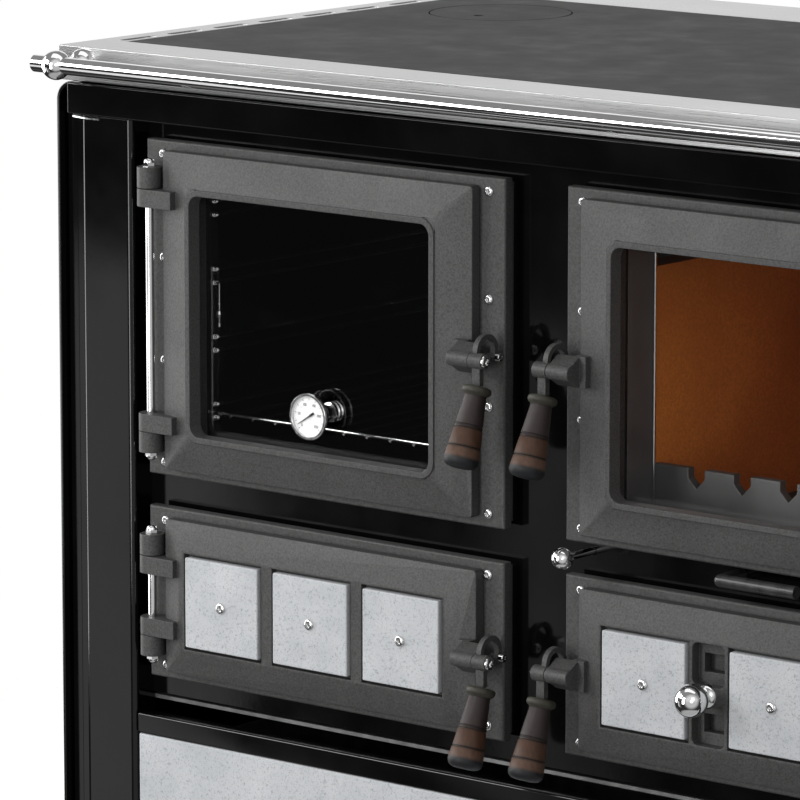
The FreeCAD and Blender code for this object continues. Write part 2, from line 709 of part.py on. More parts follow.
def door_frame(door):
    """Cast frame: bevelled border, stepped back and hinge lugs."""
    face = depth(Size.of(0))
    border = face + dim("border_depth")
    flange = depth(dim("flange_thickness"))
    x, z = door.frame_x, door.frame_z
    step_x, step_z = grow(x, -dim("frame_step")), grow(z, -dim("frame_step"))
    parts = [
        bevel_block(x, (face, border), z, dim("border_width"), dim("border_depth")),
        box(*x, border, flange, *z),
        box(*step_x, flange, panel_front, *step_z),
    ]
    for span in door.lug_spans()[0]:
        parts += lug(door, span, border)
    hole_x, hole_z = door.opening()
    through = rounded_block(hole_x, (face - 1, panel_front + 1), hole_z, dim("opening_radius"))
    return cut(fuse(parts), [through, pin_hole(door)])


def frame_screws():
    """Dome-head screws down both sides of every frame."""
    screws = []
    face = depth(Size.of(0))
    for door in DOORS:
        rows = 4 if door in (OVEN, FIRE) else 2
        first = door.frame_z[0] + dim("screw_margin")
        last = door.frame_z[1] - dim("screw_margin")
        insets = (dim("hinge_screw_inset"), dim("screw_inset"))
        left, right = insets if door.latch > 0 else insets[::-1]
        for x in (door.frame_x[0] + left, door.frame_x[1] - right):
            for index in range(rows):
                z = first + (last - first) * index / (rows - 1)
                screws.append(taper("Y", face - dim("screw_height"), face, (x, z), dim("screw_radius") * 0.6,
                                    dim("screw_radius")))
    return screws


def hinge_pins():
    pins = []
    for door in DOORS:
        (low, _), (_, high) = door.lug_spans()[0]
        pins.append(rod("Z", low, high, (door.hinge_x, door.hinge_y), dim("pin_radius")))
    return pins


def hinge_nuts():
    """Dome nuts on both ends of every hinge pin."""
    nuts = []
    for door in DOORS:
        (low, _), (_, high) = door.lug_spans()[0]
        spot = (door.hinge_x, door.hinge_y)
        radius, height = dim("nut_radius"), dim("nut_height")
        crown = radius * 0.5
        for start, end in ((high, high + height), (low, low - height)):
            middle = (start + end) / 2
            lower, upper = (start, middle) if start is high else (middle, start)
            collar = rod("Z", lower, upper, spot, radius)
            if start is high:
                cap = taper("Z", middle, end, spot, radius, crown)
            else:
                cap = taper("Z", end, middle, spot, crown, radius)
            nuts.append(fuse([collar, cap]))
    return nuts


def build_frames():
    for door in DOORS:
        node(f"{door.name}_frame", door_frame(door))
    node("frame_screws", frame_screws())
    node("hinge_pins", hinge_pins())
    node("hinge_nuts", hinge_nuts())


# Door leaves

def leaf_blank(door):
    """Plate with a bevelled, raised middle, hinge lugs and the boss that carries the handle."""
    x, z = door.leaf_x, door.leaf_z
    plate = box(*x, door.leaf_step, door.leaf_back, *z)
    raised = bevel_block(x, (door.leaf_front, door.leaf_step), z, door.bevel_x, door.bevel_z)
    outline = rounded_block(x, (door.leaf_front, door.leaf_back), z, dim("leaf_corner"))
    parts = [overlap(fuse([plate, raised]), outline)]
    hinge_edge = x[0] if door.latch > 0 else x[1]
    reach = hinge_edge + door.latch * dim("lug_reach")
    web_x = (door.hinge_x, reach) if door.latch > 0 else (reach, door.hinge_x)
    web_y = (door.hinge_y - dim("lug_radius"), door.hinge_y + dim("lug_web"))
    for span in door.lug_spans()[1]:
        parts.append(rod("Z", *span, (door.hinge_x, door.hinge_y), dim("lug_radius")))
        parts.append(box(*web_x, *web_y, *span))
    return parts + handle_boss(door)


def handle_boss(door):
    """Barrel for the handle's axle on a tapered gusset, with a pad on the leaf behind it."""
    barrel_x = door.along_latch(-dim("boss_inside"), dim("boss_outside"))
    pad_x = door.along_latch(-dim("boss_pad"), 0)
    pad_front = door.leaf_front - dim("boss_pad_proud")
    pad_z = grow((door.handle_z, door.handle_z), dim("boss_pad_half"))
    barrel = rod("X", *barrel_x, (door.handle_y, door.handle_z), dim("boss_radius"))
    taper_in = dim("boss_pad_half") - dim("boss_radius")
    gusset = bevel_block(barrel_x, (door.handle_y, pad_front), pad_z, Size.of(0), taper_in)
    pad_block = box(*pad_x, pad_front, door.leaf_step + 1, *pad_z)
    return [barrel, gusset, pad_block]


def boss_hole(door):
    span = door.along_latch(dim("boss_outside") - dim("axle_length") - 1, dim("boss_outside") + 1)
    return rod("X", *span, (door.handle_y, door.handle_z), dim("axle_radius") + dim("pin_clearance"))


def gasket_ring(door, y):
    """Square ring round the opening, between the gasket's inner and outer lines."""
    inner_x, inner_z = door.opening()
    inner_x = grow(inner_x, dim("gasket_inset") - dim("reveal"))
    inner_z = grow(inner_z, dim("gasket_inset") - dim("reveal"))
    width = dim("gasket_width")
    radius = dim("opening_radius")
    outer = rounded_block(grow(inner_x, width), y, grow(inner_z, width), radius + width)
    return cut(outer, [rounded_block(inner_x, grow(y, 1), inner_z, radius)])


def glazed_leaf(door):
    """Leaf with a beaded window, a pocket for the glass and a groove for the rope seal."""
    parts = leaf_blank(door)
    bead_front = door.leaf_front - dim("bead_height")
    bead = dim("bead_width")
    radius = dim("opening_radius")
    bead_y = (bead_front, door.leaf_step)
    parts.append(rounded_block(grow(door.window_x, bead), bead_y, grow(door.window_z, bead), radius + bead))
    window = rounded_block(door.window_x, (bead_front - 1, door.leaf_back + 1), door.window_z, radius)
    lap = dim("glass_lap") + dim("door_clearance")
    pocket = box(*grow(door.window_x, lap), door.leaf_back - dim("glass_pocket"), door.leaf_back + 1,
                 *grow(door.window_z, lap))
    groove = gasket_ring(door, (door.leaf_back - dim("gasket_depth"), door.leaf_back + 1))
    return cut(fuse(parts), [window, pocket, groove, pin_hole(door), boss_hole(door)])


def glass_pane(door):
    lap = dim("glass_lap")
    start = door.leaf_back - dim("glass_pocket")
    return box(*grow(door.window_x, lap), start, start + dim("glass_thickness"), *grow(door.window_z, lap))


def gasket(door):
    start = door.leaf_back - dim("gasket_depth")
    return gasket_ring(door, (start, depth(-dim("gasket_clearance"))))


def tile_spans(door, count, gap_between):
    """X spans of equal tiles that fill the flat middle of a leaf, `gap_between` apart."""
    flat = grow(door.leaf_x, -door.bevel_x - dim("tile_bridge"))
    width = (flat[1] - flat[0] - (count - 1) * gap_between) / count
    return [(flat[0] + index * (width + gap_between), flat[0] + index * (width + gap_between) + width)
            for index in range(count)]


def tile_middle(door):
    return (door.leaf_z[0] + door.leaf_z[1]) / 2


def tile_set(door, spans):
    """Stone tiles bedded in their pockets, slightly proud of the casting."""
    z = grow((tile_middle(door), tile_middle(door)), dim("tile_height") / 2)
    start = door.leaf_front - dim("tile_proud")
    return [box(*x, start, start + dim("tile_thickness"), *z) for x in spans]


def tile_pockets(door, spans):
    gap = dim("tile_gap")
    z = grow((tile_middle(door), tile_middle(door)), dim("tile_height") / 2 + gap)
    floor = door.leaf_front - dim("tile_proud") + dim("tile_thickness")
    return [box(*grow(x, gap), door.leaf_front - 1, floor, *z) for x in spans]


def tile_screws(door, spans):
    start = door.leaf_front - dim("tile_proud") - dim("tile_screw_height")
    radius = dim("tile_screw_radius")
    return [taper("Y", start, start + dim("tile_screw_height"), ((x[0] + x[1]) / 2, tile_middle(door)),
                  radius * 0.7, radius) for x in spans]


AIR_X = (ASH.leaf_x[0] + ASH.leaf_x[1]) / 2
AIR_GAP = dim("air_slot_width") + dim("tile_bridge") * 2
WARM_TILES = tile_spans(WARM, 3, (dim("tile_bridge") + dim("tile_gap")) * 2)
ASH_TILES = tile_spans(ASH, 2, AIR_GAP)


def air_slots():
    """Two recesses, above and below the knob's bridge, each with a port through the leaf."""
    middle = tile_middle(ASH)
    x = grow((AIR_X, AIR_X), dim("air_slot_width") / 2)
    port_x = grow(x, -dim("tile_gap") * 2)
    reach = dim("tile_height") / 2 + dim("tile_gap")
    bridge = dim("air_bridge") / 2
    tools = []
    for span in ((middle + bridge, middle + reach), (middle - reach, middle - bridge)):
        centre = (span[0] + span[1]) / 2
        port = grow((centre, centre), dim("air_port_height") / 2)
        tools.append(rounded_block(x, (ASH.leaf_front - 1, ASH.leaf_front + dim("air_slot_depth")), span,
                                   dim("tile_gap") * 2))
        tools.append(box(*port_x, ASH.leaf_front, ASH.leaf_back + 1, *port))
    return tools


def tiled_leaf(door, spans, extra):
    tools = [*tile_pockets(door, spans), pin_hole(door), boss_hole(door), *extra]
    return cut(fuse(leaf_blank(door)), tools)


def air_knob():
    """Mushroom knob on a spindle through the leaf, with the valve blade behind it."""
    spot = (AIR_X, tile_middle(ASH))
    face = ASH.leaf_front - dim("guide_clearance")
    centre_y = ASH.leaf_front - dim("knob_stand")
    back = depth(dim("frame_depth") / 2)
    blade = grow((tile_middle(ASH), tile_middle(ASH)), dim("tile_height") / 2 - dim("tile_gap"))
    blade_x = grow((AIR_X, AIR_X), dim("air_slot_width") / 2 - dim("tile_gap"))
    blade_y = (ASH.leaf_back + dim("guide_clearance"), ASH.leaf_back + dim("guide_clearance") + sheet_wall)
    return fuse([
        ball(spot[0], centre_y, spot[1], dim("knob_radius")),
        rod("Y", centre_y, face, spot, dim("knob_neck_radius")),
        rod("Y", face - dim("knob_base"), face, spot, dim("knob_base_radius")),
        rod("Y", face, back, spot, dim("spindle_radius")),
        box(*blade_x, *blade_y, *blade),
    ])


def spindle_hole():
    spot = (AIR_X, tile_middle(ASH))
    return rod("Y", ASH.leaf_front - 1, ASH.leaf_back + 1, spot, dim("spindle_radius") + dim("pin_clearance"))


def build_doors():
    for door in (OVEN, FIRE):
        node(f"{door.name}_door_leaf", glazed_leaf(door))
        node(f"{door.name}_gasket", gasket(door))
    node("fire_glass", glass_pane(FIRE))
    stem_hole = rod("Y", OVEN.leaf_front, OVEN.leaf_back + 1, (DIAL_X, DIAL_Z),
                    dim("stem_radius") + dim("pin_clearance"))
    node("oven_glass", cut(glass_pane(OVEN), [stem_hole]))
    node("lower_door_leaf", tiled_leaf(WARM, WARM_TILES, []))
    node("ash_door_leaf", tiled_leaf(ASH, ASH_TILES, [*air_slots(), spindle_hole()]))
    for door, spans in ((WARM, WARM_TILES), (ASH, ASH_TILES)):
        node(f"{door.name}_tiles", tile_set(door, spans))
        node(f"{door.name}_tile_screws", tile_screws(door, spans))
    node("air_knob", air_knob())


# Thermometer on the oven glass

DIAL_X = (OVEN.window_x[0] + OVEN.window_x[1]) / 2
DIAL_Z = OVEN.window_z[0] + dim("dial_rise")
GLASS_FACE = OVEN.leaf_back - dim("glass_pocket")
DIAL_BACK = GLASS_FACE - dim("dial_stand")
DIAL_FRONT = DIAL_BACK - dim("dial_thickness")


def build_thermometer():
    spot = (DIAL_X, DIAL_Z)
    radius = dim("dial_radius")
    floor = DIAL_FRONT + dim("dial_recess")
    case = fuse([
        rod("Y", DIAL_FRONT, DIAL_BACK, spot, radius),
        rod("Y", DIAL_BACK, GLASS_FACE, spot, dim("stem_radius") * 2),
        rod("Y", GLASS_FACE, GLASS_FACE + dim("stem_length"), spot, dim("stem_radius")),
    ])
    recess = rod("Y", DIAL_FRONT - 1, floor, spot, radius - dim("dial_rim"))
    node("thermometer_case", cut(case, [recess]))
    width = dim("needle_width")
    length = dim("needle_length")
    hub = rod("Y", 0, 1, (0, 0), width * 1.5)
    blade = box(-width / 2, width / 2, 0, 1, 0, length)
    tail = box(-width, width, 0, 1, -length * 0.7, 0)
    needle = fuse([hub, blade, tail])
    place(needle, DIAL_X, floor - dim("guide_clearance") - 1, DIAL_Z,
          FreeCAD.Rotation(FreeCAD.Vector(0, 1, 0), 90))
    bind(needle, "Placement.Rotation.Angle", dim("needle_rest"))
    node("thermometer_needle", needle)


# Handles

def lever(door):
    """Hub on an axle, with the flat arm down to the grip and the hooked claw behind."""
    y, z = door.handle_y, door.handle_z
    start = dim("boss_outside") + dim("hub_gap")
    hub = rod("X", *door.along_latch(start, start + dim("hub_length")), (y, z), dim("hub_radius"))
    axle_x = door.along_latch(dim("boss_outside") - dim("axle_length"), start + 1)
    axle = rod("X", *axle_x, (y, z), dim("axle_radius"))
    half_width = dim("arm_width") / 2
    arm_x = door.along_latch(dim("arm_offset") - half_width, dim("arm_offset") + half_width)
    arm_rise = dim("arm_thickness") / 2 * sine(tilt) / cosine(tilt)
    arm = box(*arm_x, *grow((y, y), dim("arm_thickness") / 2), z - dim("arm_length") + arm_rise, z)
    near, far = dim("claw_offset"), dim("claw_offset") + dim("claw_thickness")
    span = door.along_latch(near, far)
    centre = (depth(-dim("claw_gap") - dim("claw_radius")), z + dim("claw_up"))
    arch = rod("X", *span, centre, dim("claw_radius"))
    inside = rod("X", *grow(span, 1), centre, dim("claw_radius") - dim("claw_width"))
    below_y = (y - dim("claw_radius"), y + dim("claw_radius") * 3)
    below = box(*grow(span, 1), *below_y, z - dim("claw_radius") * 2, z)
    claw = cut(arch, [inside, below])
    pin_x = door.along_latch(near - dim("claw_pin_reach"), far + dim("claw_pin_reach"))
    pin_y = centre[0] + dim("claw_radius") - dim("claw_width") / 2
    pin = rod("X", *pin_x, (pin_y, z), dim("claw_pin_radius"))
    return fuse([hub, axle, arm, claw, pin])


def grip(door, name):
    """Turned wooden grip: collar, tapering body with grooves, and a rounded bell end."""
    collar, bell = dim("grip_collar"), dim("grip_bell")
    top, wide = dim("grip_top_radius"), dim("grip_radius")
    length = dim("grip_length")
    dip = dim("groove_depth")
    run = length - bell - collar
    outline = [(0, 0), (dim("grip_collar_radius"), 0), (dim("grip_collar_radius"), collar), (top, collar)]
    for share in (0.5, 0.7, 0.85):
        height = collar + run * share
        radius = top + (wide - top) * share
        outline += [(radius, height - dip), (radius - dip, height), (radius + dip / 2, height + dip)]
    outline += [(wide, length - bell), (wide, length), (0, length)]
    turned = body(name)
    blank = turn(turned, outline)
    end = fillet(turned, blank, dim("grip_round"), ring_at(length, wide))
    fillet(turned, end, collar / 3, lambda edge: ring_at(Size.of(0), dim("grip_collar_radius"))(edge)
           or ring_at(collar, dim("grip_collar_radius"))(edge))
    place(turned, door.latch_x + door.latch * dim("arm_offset"), door.handle_y,
          door.handle_z - dim("arm_length"), FreeCAD.Rotation(FreeCAD.Vector(1, 0, 0), 180))
    bind(turned, "Placement.Rotation.Angle", 180 - tilt)
    return turned


def build_handles():
    for door in DOORS:
        node(f"{door.name}_lever", lever(door))
        node(f"{door.name}_grip", grip(door, f"{door.name}_handle_grip"))


# Oven

def liner(door, end):
    """Sheet box behind a door opening, open at the front."""
    x, z = door.opening()
    return shell(x, (panel_back, end), z, dim("box_sheet"), ["front"])


def shelf_runner(x, y, level):
    """Pair of level wires that hold the edge of a shelf between them, joined at the back."""
    radius = dim("wire_radius")
    heights = (level, level + dim("support_gap"))
    parts = [rod("Z", *heights, (x, y[1]), radius)]
    for z in heights:
        parts.append(rod("Y", *y, (x, z), radius))
        parts += [ball(x, end, z, radius) for end in y]
    return fuse(parts)


def support_levels(z):
    count = SIZES["support_levels"]
    return [z[0] + dim("support_rise") + index * dim("support_pitch") for index in range(count)]


def build_oven():
    oven_back = depth(dim("oven_depth"))
    node("oven_box", liner(OVEN, oven_back))
    node("warming_box", liner(WARM, oven_back))
    x, z = OVEN.opening()
    off_wall = dim("wire_radius") + dim("wire_clearance")
    y = (panel_back + dim("support_setback"), oven_back - dim("brick"))
    levels = support_levels(z)
    sides = (x[0] + off_wall, x[1] - off_wall)
    node("oven_shelf_supports", [shelf_runner(side, y, level) for side in sides for level in levels])
    node("oven_rack", oven_rack(sides, y, levels[0]))


def oven_rack(sides, y, level):
    """Wire shelf that rests on the lowest pair of support wires, its bars under its two end wires."""
    radius = dim("wire_radius")
    thin = dim("thin_wire_radius")
    z = level + radius * 2 + dim("wire_clearance") / 3
    x = (sides[0] - dim("wire_clearance"), sides[1] + dim("wire_clearance"))
    rack_y = (y[0] + dim("rack_inset"), y[1] - dim("rack_inset"))
    parts = [rod("X", *x, (end, z), radius) for end in rack_y]
    inset = dim("rack_bar_inset")
    bars = SIZES["rack_bars"]
    for index in range(bars):
        bar_x = x[0] + inset + (x[1] - x[0] - inset * 2) * index / (bars - 1)
        parts.append(rod("Y", *grow(rack_y, radius * 1.5), (bar_x, z - thin), thin))
    return fuse(parts)


# Firebox and ash compartment

fire_x, fire_z = FIRE.opening()
fire_floor = fire_z[0] - dim("fire_floor_drop") + dim("fire_sheet")
fire_top = dim("hob_height") - dim("hob_edge") - dim("fire_top_gap")
fire_back = depth(dim("fire_depth"))
brick_front = panel_back + dim("throat_depth")
grate_x = (fire_x[0] + dim("grate_side_gap"), fire_x[1] - dim("grate_side_gap"))
grate_y = (brick_front + dim("grate_front_gap"), brick_front + dim("grate_front_gap") + dim("grate_length"))


def firebox_shell():
    """Steel firebox, open at the top, with the fuel opening, its throat cheeks and the grate opening."""
    wall = dim("fire_sheet")
    x = grow(fire_x, dim("brick"))
    y = (panel_back + wall, fire_back)
    walls = shell(x, y, (fire_floor, fire_top), wall, ["top"])
    cheeks = [box(edge - wall, edge, panel_back, brick_front, fire_floor, fire_z[1]) for edge in
              (fire_x[0], fire_x[1] + wall)]
    mouth = box(*fire_x, panel_back - 1, panel_back + wall + 1, *fire_z)
    lap = dim("grate_lap")
    drop = box(*grow(grate_x, -lap), grate_y[0] + lap - dim("shaker_stroke"), grate_y[1] - lap,
               fire_floor - wall - 1, fire_floor + 1)
    return cut(fuse([walls, *cheeks]), [mouth, drop])


def firebricks():
    """Two side bricks and a back brick, standing on the firebox floor."""
    brick = dim("brick")
    z = (fire_floor, fire_floor + dim("brick_height"))
    left = box(fire_x[0] - brick, fire_x[0], brick_front, fire_back, *z)
    right = box(fire_x[1], fire_x[1] + brick, brick_front, fire_back, *z)
    rear = box(*fire_x, fire_back - brick, fire_back, *z)
    return [left, right, rear]


def fire_grate():
    """Slotted grate that lies on the firebox floor and slides when it is shaken."""
    z = (fire_floor, fire_floor + dim("grate_thickness"))
    border = dim("grate_border")
    pitch = SIZES["grate_bar"] + SIZES["grate_slot"]
    room = grate_x[1].value - grate_x[0].value - 2 * SIZES["grate_border"] + SIZES["grate_bar"]
    count = int(room // pitch)
    used = count * (dim("grate_bar") + dim("grate_slot")) - dim("grate_bar")
    start = (grate_x[0] + grate_x[1] - used) / 2
    slot_y = grow(grate_y, -border)
    tools = []
    for index in range(count):
        left = start + index * (dim("grate_bar") + dim("grate_slot"))
        tools.append(box(left, left + dim("grate_slot"), *slot_y, *grow(z, 1)))
    return cut(box(*grate_x, *grate_y, *z), tools)


def log_guard():
    """Upright plate behind the fire door with pointed notches along its top."""
    y = (brick_front, brick_front + dim("guard_thickness"))
    top = fire_floor + dim("guard_height")
    gap = dim("wire_clearance")
    blank = box(fire_x[0] + gap, fire_x[1] - gap, *y, fire_floor, top)
    middle = (fire_x[0] + fire_x[1]) / 2
    radius = dim("notch_width") / 2
    through = grow(y, 1)
    tools = []
    count = SIZES["notch_count"]
    for index in range(count):
        x = middle + (index - (count - 1) / 2) * dim("notch_pitch")
        bottom = top - dim("notch_depth") + radius
        mouth = box(x - radius, x + radius, *through, bottom, top + 1)
        tools.append(fuse([diamond(through, x, bottom, radius), mouth]))
    return cut(blank, tools)


def shaker_rod():
    """Cranked bar: a hand bar across the front and a shank under the firebox to the grate."""
    x = shaker_x
    bar_y = depth(-dim("shaker_reach"))
    radius = dim("shaker_radius")
    shank_end = grate_y[0] + dim("grate_border")
    lug_top = fire_floor
    return fuse([
        rod("Y", bar_y, shank_end, (x, control_height), radius),
        rod("X", x, x + dim("shaker_bar"), (bar_y, control_height), radius),
        ball(x, bar_y, control_height, radius),
        box(x - radius, x + radius, shank_end - radius, shank_end, control_height, lug_top),
    ])


def damper_rod():
    """Pull rod with a ball knob, beside the firebox."""
    spot = (damper_x, control_height)
    centre = depth(-dim("damper_reach"))
    return fuse([
        ball(spot[0], centre, spot[1], dim("damper_ball_radius")),
        rod("Y", centre, panel_back + dim("damper_length"), spot, dim("damper_radius")),
    ])


def build_firebox():
    node("firebox_shell", firebox_shell())
    node("firebricks", firebricks())
    node("fire_grate", fire_grate())
    node("log_guard", log_guard())
    node("shaker_rod", shaker_rod())
    node("damper_rod", damper_rod())
    ash_x, ash_z = ASH.opening()
    ash_walls = (ash_z[0], fire_floor - dim("fire_sheet"))
    node("ash_box", shell(ash_x, (panel_back, fire_back), ash_walls, dim("box_sheet"), ["front", "top"]))
    gap = dim("pan_gap") + dim("box_sheet")
    pan_y = (panel_back + dim("brick"), panel_back + dim("brick") + dim("pan_length"))
    pan_z = (ash_z[0] + dim("box_sheet"), ash_z[0] + dim("pan_height"))
    node("ash_pan", shell(grow(ash_x, -gap), pan_y, pan_z, dim("box_sheet"), ["top"]))


# Drawer

drawer_half = pillar_inner - dim("drawer_side_gap")
drawer_bottom = base_top + dim("drawer_base_gap")
drawer_face = depth(-dim("drawer_proud"))
stone_back = drawer_face + dim("stone_thickness")
drawer_back = stone_back + dim("drawer_sheet")
stone_z = (drawer_bottom + dim("drawer_sill"), drawer_top - dim("drawer_rim"))
drawer_box_half = drawer_half - dim("drawer_box_inset")
drawer_box_bottom = drawer_bottom + dim("drawer_lift")


def drawer_front():
    """Carrier for the stone: back plate, a deep top rim and a sill."""
    plate = box(-drawer_half, drawer_half, stone_back, drawer_back, drawer_bottom, drawer_top)
    rim = box(-drawer_half, drawer_half, drawer_face, drawer_back, stone_z[1], drawer_top)
    sill = box(-drawer_half, drawer_half, drawer_face, drawer_back, drawer_bottom, stone_z[0])
    return fuse([plate, rim, sill])


def runner(side):
    """Angle that stands on the casing floor, with the ledge that the drawer slides on."""
    gap = dim("runner_gap")
    near = drawer_box_half + gap
    far = near + sheet_wall
    inner = near - dim("runner_width")
    web_x = (near, far) if side > 0 else (-far, -near)
    ledge_x = (inner, far) if side > 0 else (-far, -inner)
    y = (panel_back, casing_back)
    top = drawer_box_bottom - gap
    web = box(*web_x, *y, base_top, base_top + dim("runner_height"))
    return fuse([web, box(*ledge_x, *y, top - sheet_wall, top)])


def build_drawer():
    node("drawer_front", drawer_front())
    stone_half = drawer_half - dim("stone_inset")
    node("drawer_stone", box(-stone_half, stone_half, drawer_face, stone_back, *stone_z))
    wall = dim("box_sheet")
    inner_half = drawer_box_half - wall
    y = (drawer_back + wall, drawer_back + dim("drawer_depth") - wall)
    z = (drawer_box_bottom + wall, drawer_top - dim("drawer_box_drop"))
    node("drawer_box", shell((-inner_half, inner_half), y, z, wall, ["top"]))
    node("drawer_runners", [runner(-1), runner(1)])


build_casing()
build_hob()
build_frames()
build_doors()
build_thermometer()
build_handles()
build_oven()
build_firebox()
build_drawer()
doc.recompute()

for item in doc.Objects:
    if "Invalid" in item.State or "Error" in item.State:
        raise RuntimeError(f"{item.Name} ({item.Label}) failed: {item.State}")
for name, item in NODES.items():
    if item.Shape.isNull() or not item.Shape.isValid() or not item.Shape.Solids:
        raise RuntimeError(f"{name} has no valid solid")

os.makedirs("parts", exist_ok=True)
for name, item in NODES.items():
    item.Shape.exportStep(f"parts/{name}.step")
print(f"{len(NODES)} sub-parts written")
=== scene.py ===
"""Wood cookstove: surfaces, small fittings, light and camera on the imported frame."""

import json
import math

import bmesh
import bpy
import numpy as np
from mathutils import Matrix, Vector


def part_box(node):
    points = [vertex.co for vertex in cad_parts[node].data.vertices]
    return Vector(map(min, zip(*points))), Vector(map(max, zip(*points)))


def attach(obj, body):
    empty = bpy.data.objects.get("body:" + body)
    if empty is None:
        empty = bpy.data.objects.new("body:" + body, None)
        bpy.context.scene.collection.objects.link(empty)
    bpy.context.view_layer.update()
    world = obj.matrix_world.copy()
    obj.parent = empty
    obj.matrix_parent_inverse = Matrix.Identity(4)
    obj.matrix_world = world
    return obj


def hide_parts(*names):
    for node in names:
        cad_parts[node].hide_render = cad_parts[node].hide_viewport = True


MM = 0.001
FORWARD, RIGHT, DOWN = (0, -1, 0), (1, 0, 0), (0, 0, -1)
# Faces around a turned piece, from the largest pieces to the thinnest.
FINE_TURN, TURN, SMALL_TURN, WIRE_TURN, THIN_TURN = 48, 36, 24, 20, 16
# Degrees above which an edge is shown sharp.
CREASE, TURNED_CREASE, GRIP_CREASE, NO_CREASE = 30, 40, 50, 180
# Sockets of a colour mix.
MIX_FACTOR, MIX_FIRST, MIX_SECOND, MIX_RESULT = 0, 6, 7, 2

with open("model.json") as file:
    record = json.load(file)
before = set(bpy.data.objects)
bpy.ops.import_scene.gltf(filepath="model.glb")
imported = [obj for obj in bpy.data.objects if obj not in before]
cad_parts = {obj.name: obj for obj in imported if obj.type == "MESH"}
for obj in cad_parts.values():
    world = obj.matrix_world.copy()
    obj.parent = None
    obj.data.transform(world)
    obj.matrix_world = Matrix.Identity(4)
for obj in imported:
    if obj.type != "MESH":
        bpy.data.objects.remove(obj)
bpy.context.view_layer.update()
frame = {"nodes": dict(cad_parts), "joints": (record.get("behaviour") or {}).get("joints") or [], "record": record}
nodes = frame["nodes"]
body_of = {
    node: body
    for body, members in frame["record"]["behaviour"]["bodies"].items()
    for node in members
}
slot_of = {node: nodes[node].material_slots[0].material.name for node in nodes}


def set_stops(ramp, stops):
    """Gives a colour ramp its stops, each a position and a colour."""
    elements = ramp.color_ramp.elements
    while len(elements) < len(stops):
        elements.new(0.5)
    for element, (position, colour) in zip(elements, stops):
        element.position = position
        element.color = (*colour, 1.0)


class Finish:
    """One principled surface, with helpers for the nodes that feed it."""

    SOCKETS = {
        "colour": "Base Color",
        "metallic": "Metallic",
        "roughness": "Roughness",
        "specular": "Specular IOR Level",
        "coat": "Coat Weight",
        "coat_roughness": "Coat Roughness",
        "anisotropy": "Anisotropic",
        "alpha": "Alpha",
        "glow": "Emission Strength",
        "glow_colour": "Emission Color",
    }

    def __init__(self, name, **values):
        self.material = bpy.data.materials.new(name)
        self.material.use_nodes = True
        self.tree = self.material.node_tree
        self.shader = next(n for n in self.tree.nodes if n.type == "BSDF_PRINCIPLED")
        coordinates = self.tree.nodes.new("ShaderNodeTexCoord")
        self.place = coordinates.outputs["Object"]
        self.normal = None
        for key, value in values.items():
            self.set(key, value)

    def set(self, key, value):
        if isinstance(value, tuple):
            value = (*value, 1.0)
        self.feed(self.shader, self.SOCKETS[key], value)

    def feed(self, node, socket, value):
        if isinstance(value, bpy.types.NodeSocket):
            self.tree.links.new(value, node.inputs[socket])
        else:
            node.inputs[socket].default_value = value

    def stretched(self, x, y, z):
        node = self.tree.nodes.new("ShaderNodeMapping")
        self.feed(node, "Vector", self.place)
        self.feed(node, "Scale", (x, y, z))
        return node.outputs["Vector"]

    def noise(self, scale, detail=3.0, rough=0.55, place=None):
        node = self.tree.nodes.new("ShaderNodeTexNoise")
        self.feed(node, "Vector", place or self.place)
        self.feed(node, "Scale", scale)
        self.feed(node, "Detail", detail)
        self.feed(node, "Roughness", rough)
        return node.outputs["Fac"]

    def cells(self, scale):
        node = self.tree.nodes.new("ShaderNodeTexVoronoi")
        self.feed(node, "Vector", self.place)
        self.feed(node, "Scale", scale)
        return node.outputs["Distance"]

    def stored(self, name):
        """Number kept on the points of a mesh."""
        node = self.tree.nodes.new("ShaderNodeAttribute")
        node.attribute_name = name
        return node.outputs["Fac"]

    def facing(self):
        """From 0 where the surface is seen straight on to 1 where it is seen edge on."""
        return self.tree.nodes.new("ShaderNodeLayerWeight").outputs["Facing"]

    def span(self, factor, low, high, start=0.3, end=0.7):
        node = self.tree.nodes.new("ShaderNodeMapRange")
        for socket, value in zip(
            ("Value", "From Min", "From Max", "To Min", "To Max"),
            (factor, start, end, low, high),
        ):
            self.feed(node, socket, value)
        return node.outputs["Result"]

    def ramp(self, factor, *stops):
        node = self.tree.nodes.new("ShaderNodeValToRGB")
        self.feed(node, "Fac", factor)
        set_stops(node, stops)
        return node.outputs["Color"]

    def blend(self, factor, first, second, mode="MIX"):
        node = self.tree.nodes.new("ShaderNodeMix")
        node.data_type = "RGBA"
        node.blend_type = mode
        for socket, value in zip((MIX_FACTOR, MIX_FIRST, MIX_SECOND), (factor, first, second)):
            if isinstance(value, tuple):
                value = (*value, 1.0)
            self.feed(node, socket, value)
        return node.outputs[MIX_RESULT]

    def bump(self, height, depth, strength=1.0):
        node = self.tree.nodes.new("ShaderNodeBump")
        self.feed(node, "Height", height)
        self.feed(node, "Distance", depth * MM)
        self.feed(node, "Strength", strength)
        if self.normal:
            self.feed(node, "Normal", self.normal)
        self.normal = node.outputs["Normal"]
        self.feed(self.shader, "Normal", self.normal)


def grey(value, warmth=0.0):
    """Grey of one level, a little redder and less blue where warmth is given."""
    return (value * (1 + warmth), value, value * (1 - warmth))


def black_enamel():
    f = Finish("black_enamel", specular=0.42)
    haze = f.noise(14)
    f.set("colour", f.ramp(haze, (0.3, grey(0.0013)), (0.7, grey(0.0026))))
    f.set("roughness", f.span(haze, 0.07, 0.16))
    f.bump(f.noise(260, 1), 0.03, 0.25)
    return f.material


